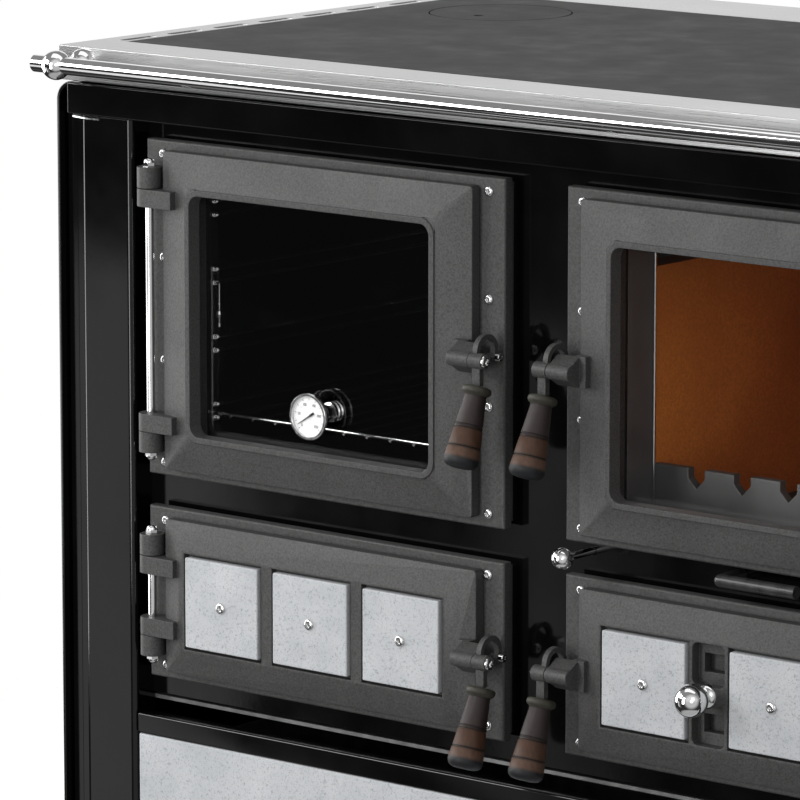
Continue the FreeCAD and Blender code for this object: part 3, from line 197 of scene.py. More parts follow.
def plain_sheet():
    f = Finish("plain_sheet", metallic=0.85)
    spangle = f.cells(60)
    f.set("colour", f.ramp(spangle, (0.1, grey(0.16)), (0.8, grey(0.26))))
    f.set("roughness", f.span(f.noise(120), 0.36, 0.55))
    f.bump(f.noise(300), 0.05, 0.3)
    return f.material


def firebox_steel():
    f = Finish("firebox_steel", metallic=0.2)
    soot = f.noise(18, 4)
    f.set("colour", f.ramp(soot, (0.3, grey(0.10, 0.02)), (0.7, grey(0.15))))
    f.set("roughness", f.span(soot, 0.38, 0.52))
    f.bump(f.noise(500), 0.06, 0.4)
    return f.material


def stainless():
    f = Finish("stainless", metallic=1.0, anisotropy=0.35)
    brush = f.noise(1.0, 3, 0.6, f.stretched(6, 1400, 1400))
    cloud = f.noise(9, 2)
    tone = f.blend(0.35, f.ramp(brush, (0.3, grey(0.48)), (0.7, grey(0.64))),
                   f.ramp(cloud, (0.3, grey(0.50)), (0.7, grey(0.62))))
    f.set("colour", tone)
    f.set("roughness", f.span(brush, 0.24, 0.38))
    f.bump(brush, 0.02, 0.35)
    return f.material


def hob_steel():
    f = Finish("hob_steel", specular=0.08)
    mottle = f.noise(24, 5, 0.62)
    grind = f.noise(1.0, 3, 0.6, f.stretched(40, 700, 40))
    tone = f.blend(0.4, f.ramp(mottle, (0.3, grey(0.022)), (0.7, grey(0.06))),
                   f.ramp(grind, (0.3, grey(0.03)), (0.7, grey(0.05))))
    f.set("colour", tone)
    f.set("roughness", f.span(mottle, 0.46, 0.62))
    f.bump(grind, 0.03, 0.3)
    return f.material


def chrome():
    f = Finish("chrome", metallic=1.0)
    film = f.noise(70, 2)
    f.set("colour", f.ramp(film, (0.3, grey(0.84)), (0.7, grey(0.9))))
    f.set("roughness", f.span(film, 0.03, 0.08))
    f.bump(f.noise(140, 1), 0.02, 0.15)
    return f.material


def bright_steel():
    f = Finish("bright_steel", metallic=1.0)
    drawn = f.noise(400, 2)
    f.set("colour", f.ramp(drawn, (0.3, grey(0.62)), (0.7, grey(0.8))))
    f.set("roughness", f.span(drawn, 0.14, 0.26))
    f.bump(drawn, 0.02, 0.2)
    return f.material


def cast_iron():
    f = Finish("cast_iron", specular=0.4)
    grain = f.noise(620, 2, 0.6)
    sand = f.noise(1300, 2, 0.6)
    patches = f.noise(25, 3)
    tone = f.ramp(grain, (0.36, grey(0.026, 0.02)), (0.5, grey(0.052, 0.02)), (0.66, grey(0.073, 0.02)))
    f.set("colour", f.blend(0.3, tone, f.ramp(patches, (0.3, grey(0.046, 0.02)), (0.7, grey(0.060, 0.02)))))
    f.set("roughness", f.span(patches, 0.48, 0.60))
    f.bump(sand, 0.08, 0.45)
    f.bump(grain, 0.12, 0.4)
    return f.material


def shaker_steel():
    f = Finish("shaker_steel", metallic=0.2, specular=0.6)
    scale = f.noise(90, 4)
    f.set("colour", f.ramp(scale, (0.3, grey(0.022)), (0.7, grey(0.045))))
    f.set("roughness", f.span(scale, 0.24, 0.36))
    f.bump(f.noise(500), 0.05, 0.3)
    return f.material


def soapstone():
    f = Finish("soapstone", specular=0.35)
    cloud = f.noise(26, 4)
    fleck = f.noise(380, 3, 0.65)
    speck = f.noise(900, 2, 0.6)
    body = f.ramp(cloud, (0.3, (0.44, 0.455, 0.47)), (0.7, (0.53, 0.54, 0.555)))
    body = f.blend(f.span(fleck, 0.0, 0.8, 0.56, 0.72), body, (0.26, 0.27, 0.29))
    body = f.blend(f.span(speck, 0.0, 0.65, 0.58, 0.70), body, (0.17, 0.175, 0.185))
    f.set("colour", body)
    f.set("roughness", f.span(cloud, 0.5, 0.66))
    f.bump(fleck, 0.06, 0.3)
    return f.material


def firebrick():
    f = Finish("firebrick", specular=0.2)
    soot = f.noise(11, 4)
    grit = f.noise(420, 3)
    body = f.ramp(soot, (0.3, (0.74, 0.22, 0.035)), (0.7, (0.95, 0.33, 0.06)))
    f.set("colour", f.blend(f.span(grit, 0.0, 0.4), body, (0.40, 0.11, 0.02)))
    f.set("roughness", f.span(soot, 0.75, 0.92))
    f.bump(grit, 0.4, 0.5)
    return f.material


def glass():
    f = Finish("glass", metallic=1.0, colour=(0.96, 0.97, 0.97))
    smear = f.noise(22, 3)
    f.set("roughness", f.span(smear, 0.0, 0.025))
    f.set("alpha", f.span(f.facing(), 0.045, 0.6, 0.4, 1.0))
    return f.material


def rope():
    f = Finish("rope", specular=0.2)
    braid = f.noise(1.0, 2, 0.5, f.stretched(900, 300, 900))
    f.set("colour", f.ramp(braid, (0.3, grey(0.015)), (0.7, grey(0.05))))
    f.set("roughness", f.span(braid, 0.8, 0.95))
    f.bump(braid, 0.6, 0.8)
    return f.material


GRIP_SHARE = "grip_share"


def wood():
    f = Finish("wood", specular=0.35, coat=0.05, coat_roughness=0.35)
    share = f.stored(GRIP_SHARE)
    grain = f.noise(1.0, 4, 0.6, f.stretched(420, 420, 40))
    olive, mauve, red = (0.044, 0.042, 0.030), (0.030, 0.019, 0.018), (0.074, 0.034, 0.018)
    # pale: lighter band on the widest part of the grip's bulb, a painted highlight
    pale, line, end = (0.105, 0.056, 0.036), (0.014, 0.009, 0.007), (0.011, 0.012, 0.014)
    bands = f.ramp(
        share, (0.0, olive), (0.10, olive), (0.115, line), (0.13, mauve), (0.46, mauve), (0.50, line),
        (0.54, red), (0.71, red), (0.74, line), (0.77, pale), (0.85, pale), (0.89, end), (1.0, end),
    )
    f.set("colour", f.blend(1.0, bands, f.ramp(grain, (0.3, grey(0.6)), (0.7, grey(1.0))), "MULTIPLY"))
    f.set("roughness", f.span(grain, 0.5, 0.66))
    f.bump(grain, 0.05, 0.35)
    return f.material


def needle_paint():
    f = Finish("needle_paint")
    wear = f.noise(300)
    f.set("colour", f.ramp(wear, (0.3, grey(0.012)), (0.7, grey(0.022))))
    f.set("roughness", f.span(wear, 0.3, 0.45))
    return f.material


def dial_white():
    f = Finish("dial_white", specular=0.5)
    haze = f.noise(200)
    f.set("colour", f.ramp(haze, (0.3, grey(0.90)), (0.7, grey(0.95))))
    f.set("roughness", f.span(haze, 0.25, 0.4))
    return f.material


MATERIALS = {
    make.__name__: make()
    for make in (
        black_enamel, plain_sheet, firebox_steel, stainless, hob_steel, chrome, bright_steel,
        cast_iron, shaker_steel, soapstone, firebrick, glass, rope, wood, needle_paint, dial_white,
    )
}
for node, cad in nodes.items():
    cad.material_slots[0].material = MATERIALS[slot_of[node]]


def outward(place, direction):
    """Matrix that stands local Z on a place, along a direction."""
    return Matrix.Translation(place) @ Vector(direction).to_track_quat("Z", "Y").to_matrix().to_4x4()


def show(name, form, slot, body, replaced=(), crease=CREASE):
    """Turns a form into a shown piece: smooth but for its creases, riding on a body."""
    bmesh.ops.recalc_face_normals(form, faces=form.faces[:])
    mesh = bpy.data.meshes.new(name)
    form.to_mesh(mesh)
    form.free()
    mesh.shade_smooth()
    mesh.set_sharp_from_angle(angle=math.radians(crease))
    mesh.materials.append(MATERIALS[slot])
    piece = bpy.data.objects.new(name, mesh)
    bpy.context.scene.collection.objects.link(piece)
    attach(piece, body)
    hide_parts(*replaced)
    return piece


# Lobes of a screw's socket.
LOBES = 6


def spin(form, profile, place=Matrix(), segments=TURN):
    """Adds a turned solid: rings of (radius, height) or (radius, height, lobe) about local Z."""
    rings = []
    for radius, height, *lobe in profile:
        wave = lobe[0] if lobe else 0.0
        ring = []
        for step in range(segments if radius else 1):
            angle = math.tau * step / segments
            reach = radius * (1 + wave * math.cos(LOBES * angle))
            spot = Vector((reach * math.cos(angle), reach * math.sin(angle), height)) * MM
            ring.append(form.verts.new(place @ spot))
        rings.append(ring)
    for near, far in zip(rings, rings[1:]):
        for step in range(segments):
            corners = [near[step % len(near)], near[(step + 1) % len(near)],
                       far[(step + 1) % len(far)], far[step % len(far)]]
            form.faces.new(list(dict.fromkeys(corners)))


def prism(form, outline, start, end, place=Matrix()):
    """Adds a straight solid: an outline of (x, y) in millimetres, from one local height to another."""
    ends = []
    for height in (start, end):
        ends.append([form.verts.new(place @ (Vector((x, y, height)) * MM)) for x, y in outline])
    form.faces.new(ends[0])
    form.faces.new(ends[1])
    for index in range(len(outline)):
        following = (index + 1) % len(outline)
        form.faces.new((ends[0][index], ends[0][following], ends[1][following], ends[1][index]))


SHARP_CORNER = math.radians(32)
FLAT_ANGLE = math.radians(0.5)
SEAM = 2e-6


def softened(form, width):
    """Rounds the sharp edges of a form."""
    edges = [e for e in form.edges if e.is_manifold and e.calc_face_angle() > SHARP_CORNER]
    bmesh.ops.bevel(
        form, geom=edges, offset=width * MM, offset_type="OFFSET", segments=2,
        profile=0.5, affect="EDGES", clamp_overlap=False,
    )
    return form


def welded(node, merge_flats=True):
    """The node's mesh with its seams joined and, if asked, its flat faces merged."""
    form = bmesh.new()
    form.from_mesh(nodes[node].data)
    bmesh.ops.remove_doubles(form, verts=form.verts[:], dist=SEAM)
    if merge_flats:
        bmesh.ops.dissolve_limit(form, angle_limit=FLAT_ANGLE, verts=form.verts[:], edges=form.edges[:])
    return form


def solids_of(node):
    """Points of each separate solid of a CAD node."""
    form = welded(node, merge_flats=False)
    form.verts.index_update()
    form.verts.ensure_lookup_table()
    seen = set()
    solids = []
    for seed in form.verts:
        if seed.index in seen:
            continue
        seen.add(seed.index)
        group = [seed]
        for vert in group:
            for edge in vert.link_edges:
                other = edge.other_vert(vert)
                if other.index not in seen:
                    seen.add(other.index)
                    group.append(other)
        solids.append([vert.co.copy() for vert in group])
    form.free()
    return solids


def corners_of(points):
    """Lowest and highest corner of the box around some points."""
    low = Vector(min(p[axis] for p in points) for axis in range(3))
    high = Vector(max(p[axis] for p in points) for axis in range(3))
    return low, high


def refined(node, width):
    """A copy of a CAD node with its sharp edges rounded, shown in its place."""
    form = softened(welded(node), width)
    piece = show(node + "_form", form, slot_of[node], body_of[node], [node], NO_CREASE)
    shading = piece.modifiers.new("even_shading", "WEIGHTED_NORMAL")
    shading.keep_sharp = True


# Millimetres by which the sharp edges of each sheet, casting and stone are rounded.
EDGE_WIDTHS = {
    "side_panels": 1.3, "corner_pillars": 0.8, "top_fascia": 1.4, "front_panel": 0.25,
    "drawer_front": 1.8, "base_tray": 0.8, "hob_frame": 0.6, "hob_plate": 0.8, "flue_cover": 0.6,
    "oven_frame": 0.6, "lower_frame": 0.6, "fire_frame": 0.6, "ash_frame": 0.6,
    "oven_door_leaf": 0.6, "lower_door_leaf": 0.6, "fire_door_leaf": 0.6, "ash_door_leaf": 0.6,
    "lower_tiles": 1.2, "ash_tiles": 1.2, "drawer_stone": 1.2, "log_guard": 0.8,
    "firebox_shell": 0.6,
}
for node, width in EDGE_WIDTHS.items():
    refined(node, width)


# Radius and height as shares of the whole head; the lobes make the socket.
SCREW_HEAD = [
    (0, 0), (1, 0), (1, 0.3), (0.92, 0.6), (0.74, 0.85), (0.52, 1),
    (0.45, 0.97, 0.1), (0.40, 0.3, 0.1), (0, 0.25),
]


def scaled(profile, radius, height):
    """Profile in millimetres from one in shares of a radius and a height."""
    return [(r * radius, h * height, *lobe) for r, h, *lobe in profile]


def screws(node):
    """Socketed button heads in place of a node's plain screw heads."""
    form = bmesh.new()
    for points in solids_of(node):
        low, high = corners_of(points)
        middle = (low + high) / 2
        seat = Vector((middle.x, high.y, middle.z))
        radius = (high.x - low.x) / 2 / MM
        spin(form, scaled(SCREW_HEAD, radius, (high.y - low.y) / MM), outward(seat, FORWARD))
    show(node + "_heads", form, slot_of[node], body_of[node], [node], TURNED_CREASE)


CAP_SIDES = 6
CAP_COLLAR = 0.45
CAP_DOME = [(0, 0.44), (0.84, 0.44), (0.84, 0.62), (0.72, 0.8), (0.5, 0.93), (0.25, 0.99), (0, 1)]
SAME_LEVEL = MM / 10


def hinge_caps():
    """Acorn nuts: a six-sided collar and a dome, on both ends of every hinge pin."""
    form = bmesh.new()
    for points in solids_of("hinge_nuts"):
        low, high = corners_of(points)
        middle = (low + high) / 2
        width = {z: max(abs(p.x - middle.x) for p in points if abs(p.z - z) < SAME_LEVEL)
                 for z in (low.z, high.z)}
        up = width[low.z] > width[high.z]
        seat = Vector((middle.x, middle.y, low.z if up else high.z))
        place = outward(seat, (0, 0, 1 if up else -1))
        radius, height = (high.x - low.x) / 2 / MM, (high.z - low.z) / MM
        turns = [math.tau * side / CAP_SIDES for side in range(CAP_SIDES)]
        collar = [(radius * math.cos(turn), radius * math.sin(turn)) for turn in turns]
        prism(form, collar, 0, height * CAP_COLLAR, place)
        spin(form, scaled(CAP_DOME, radius, height), place, SMALL_TURN)
    show("hinge_caps", form, "chrome", "stove", ["hinge_nuts"], TURNED_CREASE)


# Radius and height in millimetres, from the top of the collar.
GRIP_COLLAR = [
    (0, 0), (9.2, 0), (10.9, 0.7), (11.5, 2.2), (11.4, 3.8), (10.5, 5.2), (8.9, 6.0), (8.3, 7.4),
]
GRIP_FLARE = (13.7, 52.5)
GRIP_END = [(13.9, 53.6), (13.7, 55.2), (12.7, 57.4), (10.6, 59.0), (7.4, 59.8), (0, 60)]
GRIP_GROOVES = (28.5, 31.0, 44.5)
GROOVE_SHAPE = ((-0.6, 0.0), (-0.2, 0.55), (0.2, 0.55), (0.6, 0.0))
GRIP_TILT = math.radians(20)


def grip_profile(length):
    """Collar ring, flared body with turned grooves, rounded end; heights from the collar's top."""
    neck_radius, neck = GRIP_COLLAR[-1]
    slope = (GRIP_FLARE[0] - neck_radius) / (GRIP_FLARE[1] - neck)
    grooves = []
    for groove in GRIP_GROOVES:
        for offset, dip in GROOVE_SHAPE:
            along = groove + offset
            grooves.append((neck_radius + slope * (along - neck) - dip, along))
    profile = [*GRIP_COLLAR, *grooves, GRIP_FLARE, *GRIP_END]
    stretch = length / profile[-1][1]
    return [(radius, height * stretch) for radius, height in profile]


def grip(door):
    """Turned grip on the line of its CAD solid, each point knowing its share of the length."""
    node = door + "_grip"
    faces = nodes[node].data.polygons
    middle = np.average([face.center for face in faces], axis=0, weights=[face.area for face in faces])
    line = np.array((0, -math.sin(GRIP_TILT), -math.cos(GRIP_TILT)))
    reach = (np.array([p for solid in solids_of(node) for p in solid]) - middle) @ line
    top = middle + line * reach.min()
    length = reach.max() - reach.min()
    form = bmesh.new()
    spin(form, grip_profile(length / MM), outward(Vector(top), line), FINE_TURN)
    piece = show(door + "_turned_grip", form, "wood", body_of[node], [node], GRIP_CREASE)
    share = piece.data.attributes.new(GRIP_SHARE, "FLOAT", "POINT")
    for value, vert in zip(share.data, piece.data.vertices):
        value.value = (np.array(vert.co) - top) @ line / length


LEFT_HINGED = ("oven", "lower")
HUB_BOLT_RADIUS, HUB_BOLT_HEIGHT = 5.2, 2.2
ROLLER = [(0, -4.4), (2.9, -4.4), (3.5, -3.8), (3.5, -0.5), (2.9, 0), (1.6, 0), (1.4, -0.6), (0, -0.6)]
ROLLER_FROM_HUB_END, ROLLER_FROM_BACK = 2.5, 2.6


def handle_fittings(door):
    """Bolt in the end of the hub and the roller on the claw."""
    node = door + "_lever"
    body = body_of[node]
    low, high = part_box(node)
    joint = next(j for j in frame["joints"] if j["child"] == body)
    y, z = joint["pos_m"][1], joint["pos_m"][2]
    side = 1 if door in LEFT_HINGED else -1
    hub_end = high.x if side > 0 else low.x
    bolt = bmesh.new()
    spin(bolt, scaled(SCREW_HEAD, HUB_BOLT_RADIUS, HUB_BOLT_HEIGHT), outward((hub_end, y, z), (side, 0, 0)))
    show(door + "_hub_bolt", bolt, "chrome", body, crease=TURNED_CREASE)
    roller = bmesh.new()
    roller_end = Vector((hub_end - side * ROLLER_FROM_HUB_END * MM, high.y - ROLLER_FROM_BACK * MM, z))
    spin(roller, ROLLER, outward(roller_end, (side, 0, 0)), SMALL_TURN)
    show(door + "_claw_roller", roller, "chrome", body, crease=TURNED_CREASE)


KNOB_NECK = 6.0
KNOB_FOOT = [(0, 0), (9.5, 0), (9.5, 2.2), (8.9, 4.0), (7.6, 5.4), (6.4, 6.3), (KNOB_NECK, 7.6)]
KNOB_STEPS = 16
KNOB_SEAT = 2
BLADE_MARGIN, BLADE_CORNER = 1, 4
BLADE_BACK, BLADE_FRONT = 4, 7
SPINDLE_RADIUS, SPINDLE_CHAMFER = 4, 0.8


def knob_profile(radius, stand):
    """Domed foot, neck and ball; heights from the face that the foot stands on."""
    profile = list(KNOB_FOOT)
    start = math.asin(KNOB_NECK / radius)
    for step in range(KNOB_STEPS + 1):
        angle = start + (math.pi - start) * step / KNOB_STEPS
        reach = radius * math.sin(angle) if step < KNOB_STEPS else 0
        profile.append((reach, stand - radius * math.cos(angle)))
    return profile


def air_knob():
    """Turned knob, and the dark valve blade on the spindle behind the leaf."""
    low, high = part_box("air_knob")
    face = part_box("ash_tiles")[0].y + KNOB_SEAT * MM
    radius = (high.x - low.x) / 2 / MM
    centre = Vector(((low.x + high.x) / 2, face, (low.z + high.z) / 2))
    form = bmesh.new()
    spin(form, knob_profile(radius, (face - low.y) / MM - radius), outward(centre, FORWARD), FINE_TURN)
    show("air_knob_turned", form, "chrome", "air_valve", ["air_knob"], TURNED_CREASE)
    blade = bmesh.new()
    wide, tall = radius - BLADE_MARGIN, (high.z - low.z) / 2 / MM
    inner_wide, inner_tall = wide - BLADE_CORNER, tall - BLADE_CORNER
    outline = [(-wide, -inner_tall), (-inner_wide, -tall), (inner_wide, -tall), (wide, -inner_tall),
               (wide, inner_tall), (inner_wide, tall), (-inner_wide, tall), (-wide, inner_tall)]
    place = outward(Vector((centre.x, high.y, centre.z)), FORWARD)
    prism(blade, outline, BLADE_BACK, BLADE_FRONT, place)
    length = (high.y - face) / MM
    spindle = [(0, 0), (SPINDLE_RADIUS - SPINDLE_CHAMFER, 0), (SPINDLE_RADIUS, SPINDLE_CHAMFER),
               (SPINDLE_RADIUS, length), (0, length)]
    spin(blade, spindle, place, SMALL_TURN)
    show("air_valve_blade", blade, "cast_iron", "air_valve")


# Ends of the strokes that make up a figure, in units of the figure's half width.
FIGURE_STROKES = {
    "a": (-1, 2, 1, 2), "b": (1, 0, 1, 2), "c": (1, -2, 1, 0), "d": (-1, -2, 1, -2),
    "e": (-1, -2, -1, 0), "f": (-1, 0, -1, 2), "g": (-1, 0, 1, 0),
}
FIGURES = {"0": "abcdef", "1": "bc", "2": "abged", "5": "afgcd"}
FIGURE_UNIT, FIGURE_STROKE, FIGURE_PITCH = 0.42, 0.16, 3.4
DIAL_BEHIND_NEEDLE, DIAL_MARGIN = 0.25, 2.4
DIAL_TOP, MARK_TOP = 0.05, 0.1
SCALE_STEPS, LONG_EVERY, FIGURE_EVERY, STEP_VALUE = 50, 5, 10, 5
SCALE_START, SCALE_SWEEP = 225, 270
# Shares of the dial's radius.
MARK_OUTER, LONG_INNER, SHORT_INNER, FIGURE_RING = 0.95, 0.82, 0.88, 0.64
LONG_HALF, SHORT_HALF = 0.2, 0.09


def figures(form, text, middle, place):
    """Adds upright figures made of straight strokes, centred on a spot of the dial."""
    half = FIGURE_STROKE
    for index, sign in enumerate(text):
        shift = middle[0] + (index - (len(text) - 1) / 2) * FIGURE_UNIT * FIGURE_PITCH
        for letter in FIGURES[sign]:
            x0, y0, x1, y1 = (value * FIGURE_UNIT for value in FIGURE_STROKES[letter])
            corners = ((x0 - half, y0 - half), (x1 + half, y0 - half),
                       (x1 + half, y1 + half), (x0 - half, y1 + half))
            outline = [(x + shift, y + middle[1]) for x, y in corners]
            prism(form, outline, DIAL_TOP, MARK_TOP, place)


def dial():
    """White face with scale marks and figures inside the thermometer's rim."""
    low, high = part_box("thermometer_case")
    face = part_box("thermometer_needle")[1].y + DIAL_BEHIND_NEEDLE * MM
    radius = (high.x - low.x) / 2 / MM - DIAL_MARGIN
    place = outward(Vector(((low.x + high.x) / 2, face, (low.z + high.z) / 2)), FORWARD)
    disc = bmesh.new()
    spin(disc, [(0, -DIAL_TOP), (radius, -DIAL_TOP), (radius, DIAL_TOP), (0, DIAL_TOP)], place, FINE_TURN)
    show("dial_face", disc, "dial_white", "oven_door", crease=TURNED_CREASE)
    marks = bmesh.new()
    outer = radius * MARK_OUTER
    for step in range(SCALE_STEPS + 1):
        angle = math.radians(SCALE_START - SCALE_SWEEP * step / SCALE_STEPS)
        share, half = (SHORT_INNER, SHORT_HALF) if step % LONG_EVERY else (LONG_INNER, LONG_HALF)
        inner = radius * share
        outline = [(inner, -half), (outer, -half), (outer, half), (inner, half)]
        prism(marks, outline, DIAL_TOP, MARK_TOP, place @ Matrix.Rotation(angle, 4, "Z"))
        if step % FIGURE_EVERY == 0:
            ring = radius * FIGURE_RING
            figures(marks, str(step * STEP_VALUE), (ring * math.cos(angle), ring * math.sin(angle)), place)
    show("dial_marks", marks, "needle_paint", "oven_door", crease=TURNED_CREASE)


ROLLED_RADIUS = 1.3
ROLLED_AHEAD, ROLLED_LIFT, ROLLED_BELOW_SHELL = 1.8, 1, 60


def throat_edges():
    """Bright rolled edge where the throat's cheeks meet the bricks."""
    low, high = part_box("log_guard")
    shell_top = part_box("firebox_shell")[1].z
    form = bmesh.new()
    for x, inward in ((low.x, 1), (high.x, -1)):
        foot = Vector((x + inward * ROLLED_RADIUS * MM, low.y - ROLLED_AHEAD * MM, low.z + ROLLED_LIFT * MM))
        length = (shell_top - foot.z) / MM - ROLLED_BELOW_SHELL
        edge = [(0, 0), (ROLLED_RADIUS, 0), (ROLLED_RADIUS, length), (0, length)]
        spin(form, edge, Matrix.Translation(foot), THIN_TURN)
    show("throat_edges", form, "bright_steel", "stove")


BEAD = [(0, -0.9), (1.9, -0.9), (2.4, -0.3), (2.4, 0.1), (1.7, 0.45), (0.9, 0.65), (0, 0.72)]
BEAD_FACING = (0.63, -0.76, 0.16)
BEAD_STRETCH = Matrix.Diagonal((1.4, 0.85, 1, 1))
BEAD_BACK = 1.2 * MM
WIRE_END, WIRE_GAP = 2.5 * MM, 5 * MM
LEFT_WALL = 20 * MM
HANGER_BEAD = 3
HANGER_ARM = [(0, 0), (0.8, 0), (0.8, 5.7), (0, 5.7)]
HANGER_OUT = Vector((4.9 * MM, 0, 0))
HANGER = [
    (0, 0), (0.8, 0), (0.8, 15), (1.6, 15.6), (1.6, 17.4), (0.8, 18), (0.8, 21.5), (2.4, 22.5), (3.2, 25),
    (2.6, 27.5), (1.2, 29), (0.8, 31), (1.7, 32.2), (1.7, 35), (0, 36),
]


def wire_ends(points):
    """Middle of each front end of a shelf support, from its lowest wire up."""
    front = corners_of(points)[0].y
    groups = []
    for point in sorted((p for p in points if p.y < front + WIRE_END), key=lambda p: p.z):
        if not groups or point.z - groups[-1][-1].z > WIRE_GAP:
            groups.append([])
        groups[-1].append(point)
    middles = [sum(corners_of(group), Vector()) / 2 for group in groups]
    return [Vector((middle.x, front + BEAD_BACK, middle.z)) for middle in middles]


def shelf_beads():
    """Bead on the front end of every shelf wire, and the small fitting that hangs from one of them."""
    form = bmesh.new()
    spots = [spot for points in solids_of("oven_shelf_supports") for spot in wire_ends(points)]
    for spot in spots:
        spin(form, BEAD, outward(spot, BEAD_FACING) @ BEAD_STRETCH, WIRE_TURN)
    left = min(spot.x for spot in spots)
    on_left = [spot for spot in spots if spot.x < left + LEFT_WALL]
    holder = sorted(on_left, key=lambda spot: -spot.z)[HANGER_BEAD]
    spin(form, HANGER_ARM, outward(holder, RIGHT), THIN_TURN)
    spin(form, HANGER, outward(holder + HANGER_OUT, DOWN), WIRE_TURN)
    show("shelf_beads", form, "chrome", "stove")


# Radius and height in millimetres: nut and back from the glass, rim from its own outer front edge.
THERMOMETER_NUT = [
    (0, -30), (3, -30), (3, -23), (8, -23), (8.2, -21.5), (7, -20.5), (8.2, -19.5), (8.2, -17.5), (7, -16.5),
    (8.2, -15.5), (8, -13.5), (6, -12.5), (6, -8), (7.4, -7), (7.4, -5), (3, -5), (3, 0.1), (0, 0.1),
]
THERMOMETER_BACK = [(0, 0.2), (6, 0.2), (6, 4.2), (9, 5), (15.5, 7.2), (17.6, 9.4), (17.6, 9.7), (0, 9.7)]
THERMOMETER_RIM = [(-0.6, -3.2), (0, -2.6), (0, -0.4), (-0.4, 0), (-1.9, 0), (-2.3, -0.4), (-2.3, -2.4)]


def thermometer():
    """Turned case: rim and dark back in front of the glass, ribbed nut on the stem behind it."""
    low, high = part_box("thermometer_case")
    glass_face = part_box("oven_glass")[0].y
    radius, front = (high.x - low.x) / 2 / MM, (glass_face - low.y) / MM
    rim = [(radius + inward, front + behind) for inward, behind in THERMOMETER_RIM]
    rim = [(0, rim[0][1])] + rim + [(0, rim[-1][1])]
    place = outward(((low.x + high.x) / 2, glass_face, (low.z + high.z) / 2), FORWARD)
    bright = slot_of["thermometer_case"]
    for name, profile, slot, replaced in (
            ("thermometer_rim", rim, bright, ["thermometer_case"]),
            ("thermometer_back", THERMOMETER_BACK, "cast_iron", []),
            ("thermometer_nut", THERMOMETER_NUT, bright, [])):
        form = bmesh.new()
        spin(form, profile, place, FINE_TURN)
        show(name, form, slot, "oven_door", replaced, TURNED_CREASE)


NEEDLE_TIP = 0.1
NEEDLE_TAIL = [(1.4, 0.4), (-1.4, 0.5), (-2.0, 0.9), (-6.0, 0.9),
               (-6.0, -0.9), (-2.0, -0.9), (-1.4, -0.5), (1.4, -0.4)]


def needle():
    """Thin needle with a broad tail, along the line of its CAD solid."""
    low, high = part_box("thermometer_needle")
    pivot = Vector(next(j for j in frame["joints"] if j["child"] == "thermometer_pointer")["pos_m"])
    pivot.y = high.y
    points = [p for solid in solids_of("thermometer_needle") for p in solid]
    tip = max(points, key=lambda p: math.hypot(p.x - pivot.x, p.z - pivot.z))
    line = Vector((tip.x - pivot.x, 0, tip.z - pivot.z))
    length = line.length / MM
    line.normalize()
    ahead = Vector(FORWARD)
    turn = Matrix((line, ahead.cross(line), ahead)).transposed().to_4x4()
    outline = [(length, -NEEDLE_TIP), (length, NEEDLE_TIP), *NEEDLE_TAIL]
    form = bmesh.new()
    prism(form, outline, 0, (high.y - low.y) / MM, Matrix.Translation(pivot) @ turn)
    show("needle_form", form, "needle_paint", "thermometer_pointer", ["thermometer_needle"])


STRIP_DEPTH = 9.05
FLANGE_LAP, FLANGE_FOLD, FLANGE_SHEET = 0.3, 14, 1.5
FLANGE_TO_PANEL, FLANGE_END_GAP = 5, 0.2
TAB_DROP = 2.2
TAB_OUTLINE = [(0, 8.5), (0, 4), (18.4, -0.8), (33, -0.8), (33, 0), (18.4, 0), (18.4, 8.5)]
TAB_BOTTOM, TAB_TOP = -1.0, 0.2


def on_both_posts(form, outline, start, end, edges, y, z):
    """Adds a straight solid at the outer edge of the left corner post, and its mirror on the right."""
    for side, edge in zip((1, -1), edges):
        place = Matrix.Translation((edge, y, z)) @ Matrix.Diagonal((side, 1, 1, 1))
        prism(form, outline, start, end, place)


def post_flanges():
    """Narrow folded flange from each corner post's outer strip to the side panel."""
    low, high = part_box("corner_pillars")
    reach = (low.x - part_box("side_panels")[0].x) / MM - FLANGE_TO_PANEL
    fold = FLANGE_SHEET - reach
    outline = [(FLANGE_LAP, 0), (-reach, 0), (-reach, FLANGE_FOLD), (fold, FLANGE_FOLD),
               (fold, FLANGE_SHEET), (FLANGE_LAP, FLANGE_SHEET)]
    top = (high.z - low.z) / MM - FLANGE_END_GAP
    form = bmesh.new()
    on_both_posts(form, outline, FLANGE_END_GAP, top, (low.x, high.x), low.y + STRIP_DEPTH * MM, low.z)
    show("post_flanges", form, "black_enamel", "stove")


def pillar_tabs():
    """Folded tabs at the head of both corner posts."""
    low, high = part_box("corner_pillars")
    form = bmesh.new()
    seat = high.z - TAB_DROP * MM
    on_both_posts(form, TAB_OUTLINE, TAB_BOTTOM, TAB_TOP, (low.x, high.x), low.y, seat)
    show("pillar_tabs", form, "bright_steel", "stove")


for node in ("frame_screws", "lower_tile_screws", "ash_tile_screws"):
    screws(node)
hinge_caps()
for door in ("oven", "lower", "fire", "ash"):
    grip(door)
    handle_fittings(door)
air_knob()
dial()
throat_edges()
shelf_beads()
thermometer()
needle()
post_flanges()
pillar_tabs()


DOOR_MIDDLE = (0, -0.3, 0.55)
